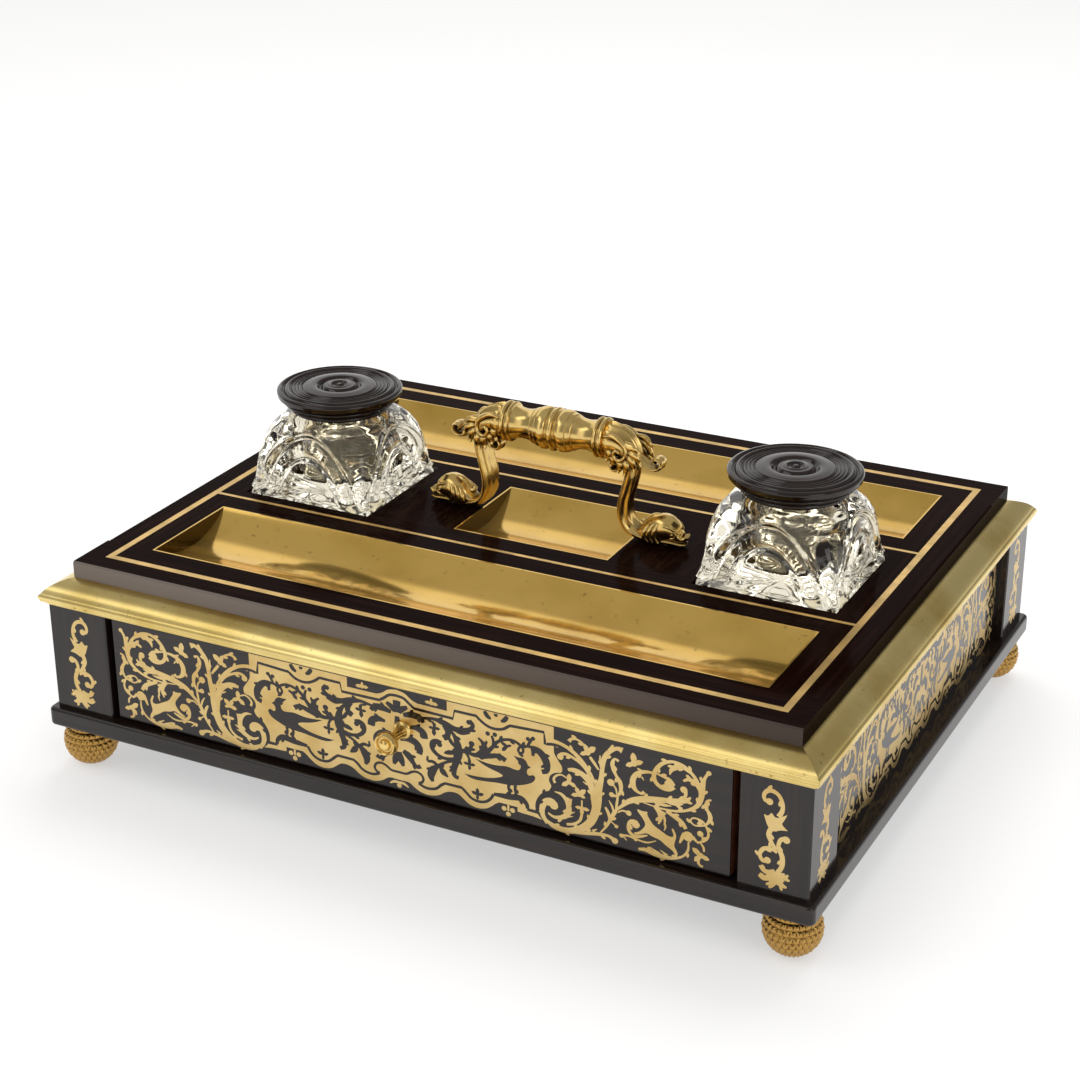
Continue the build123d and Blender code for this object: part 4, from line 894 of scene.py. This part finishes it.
CARTOUCHE_VINES = [
    [(0, 48.5, 1), (3.6, 47.9, 1), (6.4, 45.7, 1), (8.6, 44.1, 1), (8.6, 44.1, 1), (27.4, 43.8, 1),
     (27.4, 43.8, 1), (28.2, 47.9, 1), (28.2, 47.9, 1), (38.6, 48, 1), (38.6, 48, 1), (41, 46, 1),
     (44.4, 44.2, 1), (47.5, 43.8, 1), (51, 44.6, 1), (54.6, 47.2, 1), (54.6, 47.2, 1), (70.4, 48.1, 1),
     (70.4, 48.1, 1), (71, 42.4, 1), (71, 42.4, 1), (75, 43.2, 1), (80, 42.4, 0.8), (84.5, 40, 0.4)],
    [(0, 9.4, 0.9), (4, 9.6, 0.9), (6.4, 11.2, 0.9), (8.8, 11.9, 0.9), (11.4, 10.8, 0.9), (12.2, 8.6, 0.9),
     (11, 6.8, 0.9), (9.6, 6.4, 0.9)],
    [(9.8, 6.2, 1), (12.5, 5, 1), (15.5, 4.9, 1), (18.6, 6, 1), (21, 8.4, 1), (22.8, 9.7, 1),
     (22.8, 9.7, 1), (31, 9.8, 1), (31, 9.8, 1), (33, 8, 1), (35.8, 5.6, 1), (39, 4.9, 1), (42.6, 5.8, 1),
     (45, 8, 1), (46.4, 10.6, 1)],
    [(46.6, 10.7, 1.2), (53, 11.2, 2), (60.4, 11.6, 2), (62.4, 9.4, 1.4), (62.6, 7.6, 1.2)],
    [(62.4, 7.3, 1), (67.4, 7.2, 1.2), (67.4, 7.2, 1.2), (67.2, 11, 1.3), (68.8, 15, 1.5), (72, 18, 1.7),
     (75.6, 19, 1.8)],
    [(53.8, 17.6, 1.2), (53.6, 15, 0.8), (54.4, 13, 0.8), (52.8, 12.4, 0.8)],
    [(57, 18, 1.2), (56.6, 15.4, 0.8), (57.6, 13.2, 0.8), (59, 12.4, 0.8)],
    [(24.5, 38.5, 1), (27.8, 35.5, 1.4), (29.4, 31.5, 2.4), (29.6, 27, 3.2), (28.6, 22.5, 2.4),
     (27.4, 18, 2), (27.6, 15, 1.6), (29.6, 14.2, 1.4)],
    [(5, 39.5, 1), (12, 40.2, 1), (18, 41.2, 1.2), (23, 40.4, 2.2), (28, 38.8, 2), (33, 39.2, 2),
     (36, 40.8, 1.6), (37, 43, 1.4), (35.2, 44.4, 2)],
    [(27.5, 38.4, 1), (31, 38, 2), (35.5, 38.6, 0.6)],
    [(23.5, 39.5, 2.4), (24.8, 36.5, 2), (24.4, 33.6, 1.8), (22.8, 32.4, 1.2)],
    [(25, 34, 1), (26.5, 31.5, 1.4), (28.5, 29.5, 0.8)],
    [(29.5, 28.4, 1.2), (34, 28.4, 1.2), (38, 28.2, 1.6), (42, 30, 2), (45.5, 33.5, 1.4),
     (48.6, 37.6, 1.2), (52.5, 39.8, 1), (56, 40.2, 1), (59, 39, 1), (60.8, 36.6, 0.9), (60.2, 35, 0.9),
     (58.6, 35.2, 0.9), (58.8, 37.4, 0.9), (61, 38.6, 1), (64, 39.2, 1), (67.5, 38.4, 2.2),
     (70.4, 35.8, 2.6), (71.8, 32, 2.4), (71.4, 29, 1.8), (69.4, 28.2, 1.6)],
    [(38.5, 28.6, 1.2), (41.6, 31.2, 2.2), (42.2, 34, 2), (40.8, 36.2, 1), (39.4, 37.2, 0.8)],
    [(42, 33, 1.2), (43, 35.6, 0.4)],
    [(46.6, 35.4, 1), (46.6, 38, 1), (45.8, 40, 0.8)],
    [(40, 27.8, 1.6), (45, 29.6, 1.8), (50, 30.6, 1.6), (52.4, 29.2, 1.8)],
    [(46, 30, 1.2), (50, 32, 0.4)],
    [(30.5, 28.8, 1), (34.6, 29.8, 1.4), (36, 32, 1.2), (36.4, 33.4, 1)],
    [(33.4, 28, 0.9), (34.8, 26, 0.9), (35, 24, 0.9)],
    [(62.6, 38.8, 0.8), (63.6, 41, 1), (65, 43.4, 1)],
    [(64.8, 38.8, 1), (65.4, 36.6, 1.2), (65.2, 35, 1)],
    [(28, 23.5, 1.2), (23, 22.6, 1.2), (19, 23.8, 1.4), (16.9, 26.4, 1.6), (17.2, 29.2, 1.8),
     (19.4, 30.2, 2), (21, 29.4, 2.4)],
    [(27.5, 26.6, 1.4), (24.6, 26, 1.6), (22.8, 25.2, 0.6)],
    [(27.6, 22.6, 1), (23, 20.4, 1), (19.4, 17.6, 1.4), (17, 15, 2.8), (16, 11.6, 2.4), (16.8, 9, 1)],
    [(19.4, 18, 1.2), (17, 19.4, 1.2), (14.4, 18.8, 0.8)],
    [(14.4, 19, 1), (14.6, 21.6, 0.6)],
    [(20.6, 17.8, 1), (22, 15.4, 2.2), (24.4, 13.4, 0.6)],
    [(27.8, 18.5, 1), (26, 19, 1), (25.4, 18.4, 0.8)],
    [(17.5, 40, 0.8), (18.2, 37.6, 0.8)],
    [(6, 34, 1), (10, 34.4, 2.2), (13, 32.4, 2.4), (13.6, 30, 2)],
    [(1, 27, 1.6), (5, 28, 2.4), (8.6, 27, 2.6), (10.8, 24, 2.4), (10.4, 21.4, 2)],
    [(2.5, 21, 1.6), (5.4, 19, 2.6), (7.6, 15.8, 1.6), (9.4, 14.4, 1.4), (11, 15.4, 1.6)],
    [(0.5, 20, 1.6), (1.4, 16, 2.4), (2.4, 13, 1)],
    [(0, 40, 1.4), (0.4, 43, 2), (0.8, 46, 1.6)],
    [(1, 40, 1.2), (3, 42.6, 2), (5.2, 43.8, 1.2)],
    [(0, 38, 1.6), (0, 28, 3)],
    [(3, 39.5, 1.4), (8, 40.6, 2.4), (11.5, 40, 2), (13, 38, 1.4)],
    [(42.6, 51.4, 1.2), (44, 49.2, 1.6), (45.6, 48.2, 0.8)],
    [(53.4, 51.4, 1.2), (52, 49.2, 1.6), (50.4, 48.2, 0.8)],
    [(48, 51.4, 1.4), (48, 50, 1)],
]
CARTOUCHE_BUDS = [
    (35, 43.9, 1.2), (36.2, 33.4, 1.4), (63, 42.8, 1), (65.4, 43.6, 1), (20.6, 29, 1.3), (44, 40.6, 1.1),
    (47.4, 40.9, 1.1), (59.5, 30, 1.2),
]
CARTOUCHE_FLOWERS = [
    (53, 36.6, 0.9, [(55.2, 37.6), (50.8, 33.8), (50.2, 38)]),
    (35, 22.6, 0.7, [(32.2, 23.1), (37.8, 23.1), (35, 25.6), (35, 19.8)]),
    (18, 36.6, 0.7, [(15.4, 36.6), (21, 36.9), (18.6, 39.4), (18, 32.8)]),
    (38.6, 8.2, 0.6, [(35.8, 9.3), (41.6, 9.3), (38.6, 11.6), (38.6, 5.6)]),
]


def broken_at_corners(rows, step=0.9):
    """A smooth curve through rows whose last column is carried along, broken at doubled rows."""
    rows = np.asarray(rows, float)
    joins = np.flatnonzero(np.linalg.norm(np.diff(rows[:, :2], axis=0), axis=1) == 0) + 1
    curves = []
    for part in np.split(rows, joins):
        length = np.linalg.norm(np.diff(part[:, :2], axis=0), axis=1).sum()
        curve = smooth(part, max(4, int(length / step))) if len(part) > 2 else part
        curves.append(curve if not curves else curve[1:])
    return np.concatenate(curves)


def vine_shell(rows, low, high):
    """A flat band (across, up, depth): the curve plus and minus half its width along its normal,
    between two depths, closed at both ends. It climbs a hair along its length, so a curl lies on
    itself cleanly."""
    curve = broken_at_corners(rows)
    along = np.gradient(curve[:, :2], axis=0)
    along /= np.linalg.norm(along, axis=1)[:, None]
    aside = np.stack([-along[:, 1], along[:, 0]], axis=-1) * curve[:, 2:] / 2
    edges = [(1, high), (-1, high), (-1, low), (1, low)]
    climb = np.linspace(0, 0.004, len(curve))
    bands = [np.column_stack([curve[:, :2] + sign * aside, depth + climb]) for sign, depth in edges]
    points, faces = lattice(np.stack(bands, axis=1))
    count = len(points)
    return points, [*faces, np.array([[0, 1, 2, 3], [count - 4, count - 3, count - 2, count - 1]])]


def flat_shell(outline, low, high):
    """A flat plate inside an outline of (across, up), between two depths."""
    return capped([np.column_stack([outline, np.full(len(outline), depth)]) for depth in (low, high)])


def bud_outline(x, z, radius, sides=14):
    """A circle: its middle plus the radius times cosine and sine."""
    turn = np.linspace(0, 2 * np.pi, sides, endpoint=False)
    return np.stack([x + radius * np.cos(turn), z + radius * np.sin(turn)], axis=-1)


def petal_rows(x, z, tip):
    """A petal as a short vine, widest a little past its middle."""
    tip_x, tip_z = tip
    length = np.hypot(tip_x - x, tip_z - z)
    ways = ((0, 0.25), (0.35, 0.5), (0.65, 0.56), (0.9, 0.3), (1, 0.12))
    return [(x + way * (tip_x - x), z + way * (tip_z - z), share * length) for way, share in ways]


def spurs(rows, spacing=4.4):
    """Small leaves along a vine, one side and the other in turn: each starts inside the band and
    points forward and out by the band's half width and a little more. Short or thin vines have none."""
    rows = np.asarray(rows, float)
    if len(rows) < 4 or rows[:, 2].max() < 1.6:
        return []
    curve = broken_at_corners(rows, spacing)
    along = np.gradient(curve[:, :2], axis=0)
    along /= np.linalg.norm(along, axis=1)[:, None]
    turn_about = np.where(np.arange(len(curve)) % 2, 1, -1)[:, None]
    aside = np.stack([-along[:, 1], along[:, 0]], axis=-1) * turn_about
    half = curve[:, 2:] / 2
    base, tip = curve[:, :2] + 0.2 * half * aside, curve[:, :2] + (half + 0.9) * aside + 1.7 * along
    middle = (base + tip) / 2 + 0.3 * aside
    widths = [np.full((len(curve), 1), width) for width in (1.7, 1.5, 0.7)]
    leaves = np.stack([np.hstack(pair) for pair in zip((base, middle, tip), widths)], axis=1)
    return list(leaves[1:-1])


def rounded_outline(outline, rounds=2):
    """A closed outline with its corners cut: each side keeps its quarter and three quarter points."""
    points = np.asarray(outline, float)
    if np.allclose(points[0], points[-1]):
        points = points[:-1]
    for _ in range(rounds):
        after = np.roll(points, -1, axis=0)
        cut = [0.75 * points + 0.25 * after, 0.25 * points + 0.75 * after]
        points = np.stack(cut, axis=1).reshape(-1, 2)
    apart = np.linalg.norm(points - np.roll(points, 1, axis=0), axis=1) > 1e-6
    return points[apart]


def inlay_shells(vines, buds, flowers, outlines, surface, weight, sink=0.12):
    """Vines, buds, flowers and outlines, each a hair above the last so that crossings stay clean; after
    a number of layers it starts from the surface again. The weight widens or narrows every vine."""
    hair, layers = 0.0012, 25
    vines = [np.asarray(rows, float) * [1, 1, weight] for rows in vines]
    drawn = [("vine", rows) for rows in vines]
    drawn += [("vine", leaf) for rows in vines for leaf in spurs(rows)]
    drawn += [("plate", bud_outline(*bud)) for bud in buds]
    for x, z, radius, tips in flowers:
        drawn.append(("plate", bud_outline(x, z, radius)))
        drawn += [("vine", petal_rows(x, z, tip)) for tip in tips]
    drawn += [("plate", rounded_outline(outline)) for outline in outlines]
    shells = []
    for order, (kind, shape) in enumerate(drawn):
        high = surface + hair * (order % layers)
        make = vine_shell if kind == "vine" else flat_shell
        shells.append(make(shape, high - sink, high))
    return shells


def on_sheet(shells, label, outward, run, flips, drawn, shift=0.0):
    """Shells drawn as (across, up, depth) on a half width and a height, stretched to a sheet's and set
    on its outer face, once for each flip: 1 as drawn, -1 turned over and half a hair further out, so
    that the halves stay clean where they meet. The shift is along the run."""
    half_hair = 0.0006
    low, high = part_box(label)
    middle = [(a + b) / 2 for a, b in zip(low, high)]
    size = [b - a for a, b in zip(low, high)]
    half = abs(size[0] * run[0] + size[1] * run[1]) / 2
    out = abs(size[0] * outward[0] + size[1] * outward[1]) / 2
    laid = []
    for points, faces in shells:
        for flip in flips:
            across = flip * points[:, 0] * half / drawn[0] + shift
            up = low.z + points[:, 1] * size[2] / drawn[1]
            depth = out + (points[:, 2] + (half_hair if flip < 0 else 0)) * MM
            x = middle[0] + across * run[0] + depth * outward[0]
            y = middle[1] + across * run[1] + depth * outward[1]
            laid.append((np.stack([x, y, up], axis=-1), faces))
    return laid


cartouche_half = broken_at_corners(np.column_stack([CARTOUCHE, np.zeros(len(CARTOUCHE))]))[:, :2]
cartouche = np.vstack([cartouche_half, cartouche_half[-2:0:-1] * [-1, 1]])
# How far the brass, and the ebony drawn on it, stand out of a sheet's face
brass_face, ebony_face = 0.02, 0.035
vine_brass = inlay_shells(END_VINES, END_BUDS, END_FLOWERS, [HOUND], brass_face, 0.84)
cartouche_brass = [flat_shell(cartouche, -0.1, brass_face)]
bird_scene = (CARTOUCHE_VINES, CARTOUCHE_BUDS, CARTOUCHE_FLOWERS, [BIRD])
vine_ebony = inlay_shells(*bird_scene, ebony_face, 1.4, 0.03)
sheet_streak = 40
ebony_ground_x = polished_ebony("ebony_sheet_lengthwise", (sheet_streak, streak_wide, streak_wide))
ebony_ground_y = polished_ebony("ebony_sheet_crosswise", (streak_wide, sheet_streak, streak_wide))
SHEETS = {
    "drawer_marquetry": ("front", "drawer", ebony_ground_x),
    "back_marquetry": ("back", "case", ebony_ground_x),
    "side_marquetry_left": ("left", "case", ebony_ground_y),
    "side_marquetry_right": ("right", "case", ebony_ground_y),
}
# On the drawer the design is 1.4% shorter than its sheet, and was laid 2.8 mm to the left
for label, (side, body, ground) in SHEETS.items():
    run, outward = SIDES[side][:2]
    dress(ground, label)
    drawn, shift = ((151.8, 52.5), -2.8 * MM) if body == "drawer" else ((149.7, 52.5), 0.0)
    brass = on_sheet(vine_brass, label, outward, run, (1, -1), drawn, shift)
    brass += on_sheet(cartouche_brass, label, outward, run, (1,), drawn, shift)
    ebony = on_sheet(vine_ebony, label, outward, run, (1, -1), drawn, shift)
    add_piece(f"{label}_brass", brass, body, inlaid_brass, 20)
    add_piece(f"{label}_ebony", ebony, body, ground, 20)


# Post scrolls: one small piece of brass let into each outer face of a post, a stem that curls at the
# top and bottom with a leaf at each end. Across is from the post's middle, up from its foot.
POST_VINES = [
    [(-2.6, 41.4, 2.6), (-4.6, 41.8, 2), (-5, 44, 2), (-3, 46.4, 2.4), (0.6, 45.6, 2), (2.6, 42.4, 2),
     (2.8, 38.6, 2.2), (1.4, 35.6, 2.6)],
    [(-1.4, 30, 2.4), (-2.4, 26.6, 2.6), (-1, 23.2, 2), (1, 20.4, 2)],
    [(5, 26.6, 2.6), (2.8, 25.6, 2.2), (1.8, 22.6, 2), (3.6, 17.8, 2.6), (3.6, 13.6, 2.4), (1.8, 10, 2.4)],
    [(-2.4, 14.6, 2.4), (-4.4, 14.2, 2.2), (-5.8, 16.4, 2), (-4.6, 19.4, 2.2), (-1.6, 20.6, 1.8),
     (1.4, 19.4, 1.6)],
    [(0.8, 10.6, 2.4), (-1.8, 9.4, 2.8), (-4.2, 9.9, 2), (-5.8, 11.6, 1)],
    [(0.6, 9.6, 2.8), (-2, 7, 3.2), (-4.4, 6.2, 2.2), (-6, 7.2, 1)],
    [(0.6, 9, 3), (0.4, 6, 3.6), (-0.4, 3.8, 2.4), (-1.4, 2.4, 1)],
    [(0.8, 9.2, 2.8), (2.8, 6.4, 3), (4.4, 4.8, 2.2), (6, 4.6, 1)],
    [(1, 10.2, 2.4), (3.4, 8.8, 2.6), (5.2, 9, 1.8), (6.4, 10.4, 1)],
]
POST_BUDS = [(-2.6, 41.4, 1.5), (5, 26, 1.6), (-2.6, 14.8, 1.5)]
POST_LEAVES = [
    [(-5, 35.6), (-3, 34.6), (-1.6, 37), (-0.4, 35), (1.4, 35), (5, 37.4), (5, 37.4), (3.6, 34),
     (2.6, 32.6), (5.4, 30.2), (5.4, 30.2), (2.2, 29.8), (0, 28.4), (-2, 29), (-3.4, 31), (-4, 33),
     (-5, 35.6)],
]
scroll = inlay_shells(POST_VINES, POST_BUDS, [], POST_LEAVES, brass_face, 0.85)
for corner in CORNERS:
    end, flank = corner.split("_")
    for side in (end, flank):
        run, outward = SIDES[side][:2]
        other = (-1 if flank == "left" else 1, 0) if side == end else (0, -1 if end == "front" else 1)
        towards_corner = int(other[0] * run[0] + other[1] * run[1])
        shells = on_sheet(scroll, f"post_{corner}", outward, run, (towards_corner,), (15.5, 52.0))
        add_piece(f"post_scroll_{corner}_{side}", shells, "case", inlaid_brass, 20)


# Studio: a floor of white paper under soft boxes, in a room that scatters plain light. Gloss mirrors
# the room white near the horizon and on the left, greyer on the right and overhead, and greyest in the
# far left front corner; the camera and glass see plain white.
def aimed(position, target, roll=0.0):
    """Matrix at a position whose -Z axis looks at the target, its up turned by roll radians."""
    forward = (Vector(target) - Vector(position)).normalized()
    right = forward.cross(Vector((0, 0, 1))).normalized()
    up = right.cross(forward)
    turned_right = np.cos(roll) * right + np.sin(roll) * up
    turned_up = np.cos(roll) * up - np.sin(roll) * right
    matrix = Matrix.Identity(4)
    for column, axis in enumerate((turned_right, turned_up, -forward, Vector(position))):
        for row in range(3):
            matrix[row][column] = axis[row]
    return matrix


def ray_flag(tree, *kinds):
    """1 for rays of the kinds named and 0 for others: the most of the light path's flags for them."""
    path = add_node(tree, "LightPath").node.outputs
    flag = path[kinds[0]]
    for kind in kinds[1:]:
        flag = add_node(tree, "Math", {"operation": "MAXIMUM"}, {0: flag, 1: path[kind]})
    return flag


floor_half = 14.0
floor_mesh = bpy.data.meshes.new("studio_floor")
square = [(x * floor_half, y * floor_half, 0) for x, y in ((-1, -1), (1, -1), (1, 1), (-1, 1))]
floor_mesh.from_pydata(square, [], [(0, 1, 2, 3)])
floor = bpy.data.objects.new("studio_floor", floor_mesh)
bpy.context.scene.collection.objects.link(floor)
white = {"Roughness": 0.9, "Base Color": to_linear("#f6f5f3")}
paper, paper_tree, _ = new_finish("white_paper_sweep", white)
glow = add_node(paper_tree, "Emission", {"Color": (1, 1, 1, 1), "Strength": 1.1})
seen = ray_flag(paper_tree, "Is Camera Ray", "Is Glossy Ray", "Is Transmission Ray")
lift = add_node(paper_tree, "Math", {"operation": "MULTIPLY", 1: 0.45}, {0: seen})
matt = paper_tree.nodes["Principled BSDF"].outputs[0]
sweep = add_node(paper_tree, "MixShader", {}, {0: lift, 1: matt, 2: glow})
paper_tree.links.new(sweep, paper_tree.nodes["Material Output"].inputs[0])
floor_mesh.materials.append(paper)

world = bpy.data.worlds.new("studio_room")
world.use_nodes = True
room = world.node_tree
direction = add_node(room, "TexCoord", give="Generated")
rightward, backward, upward = add_node(room, "SeparateXYZ", {}, {0: direction}).node.outputs
left_white = {"From Min": -0.2, "From Max": 0.0, "To Min": 1.0, "To Max": 0.3}
low_white = {"From Min": 0.1, "From Max": 0.2, "To Min": 1.0, "To Max": 0.0}
far_left_grey = {"From Min": -0.62, "From Max": -0.46, "To Min": 0.3}
side_level = add_node(room, "MapRange", left_white, {0: rightward})
low_level = add_node(room, "MapRange", low_white, {0: upward})
sweep_level = add_node(room, "Math", {"operation": "MAXIMUM"}, {0: side_level, 1: low_level})
corner_level = add_node(room, "MapRange", far_left_grey, {0: rightward})
behind = add_node(room, "MapRange", {"From Min": -0.1, "From Max": 0.1}, {0: backward})
corner_or_behind = add_node(room, "Math", {"operation": "MAXIMUM"}, {0: corner_level, 1: behind})
walls = add_node(room, "Math", {"operation": "MULTIPLY"}, {0: sweep_level, 1: corner_or_behind})
overhead = add_node(room, "MapRange", {"From Min": 0.63, "From Max": 0.7}, {0: upward})
mirrored = add_node(room, "Mix", {"data_type": "FLOAT", 3: 0.4}, {0: overhead, 2: walls})
glossy = ray_flag(room, "Is Glossy Ray")
shaded = add_node(room, "Mix", {"data_type": "FLOAT", 2: 0.75}, {0: glossy, 3: mirrored})
clear = ray_flag(room, "Is Camera Ray", "Is Transmission Ray")
level = add_node(room, "Math", {"operation": "MAXIMUM"}, {0: clear, 1: shaded})
room.links.new(level, room.nodes["Background"].inputs["Strength"])
room.nodes["Background"].inputs["Color"].default_value = (1, 1, 1, 1)
bpy.context.scene.world = world


def soft_box(name, position, width, height, radiance, mirrored_in_gloss=True):
    """A rectangular lamp aimed at the stand: its power is its radiance times pi times its area."""
    lamp = bpy.data.lights.new(name, "AREA")
    lamp.shape = "RECTANGLE"
    lamp.size, lamp.size_y = width, height
    lamp.energy = radiance * np.pi * width * height
    holder = bpy.data.objects.new(name, lamp)
    bpy.context.scene.collection.objects.link(holder)
    holder.matrix_world = aimed(position, (0, 0, 0.05))
    holder.visible_glossy = mirrored_in_gloss


soft_box("overhead_soft_box", (-0.1, 0.75, 1.5), 1.3, 0.9, 3.6, False)
soft_box("front_overhead_strip", (-0.75, -0.85, 1.45), 1.3, 0.5, 1.3)
soft_box("front_right_fill", (1.6, -0.9, 0.9), 0.8, 0.8, 1.6)
soft_box("front_left_fill", (-1.5, -1.4, 1.0), 0.7, 0.9, 1.4, False)

camera_lens = bpy.data.cameras.new("photograph_view")
camera_lens.lens = 75.93
camera_lens.sensor_width = 36.0
camera_lens.clip_end = 60.0
camera = bpy.data.objects.new("photograph_view", camera_lens)
bpy.context.scene.collection.objects.link(camera)
AZIMUTH, ELEVATION, ROLL = np.radians((27.26, 23.95, -0.29))
eye = Vector((0.4389, -0.86325, 0.52565))
flat = np.cos(ELEVATION)
view = Vector((-np.sin(AZIMUTH) * flat, np.cos(AZIMUTH) * flat, -np.sin(ELEVATION)))
camera.matrix_world = aimed(eye, eye + view, ROLL)
bpy.context.scene.camera = camera
bpy.context.scene.view_settings.view_transform = "Standard"
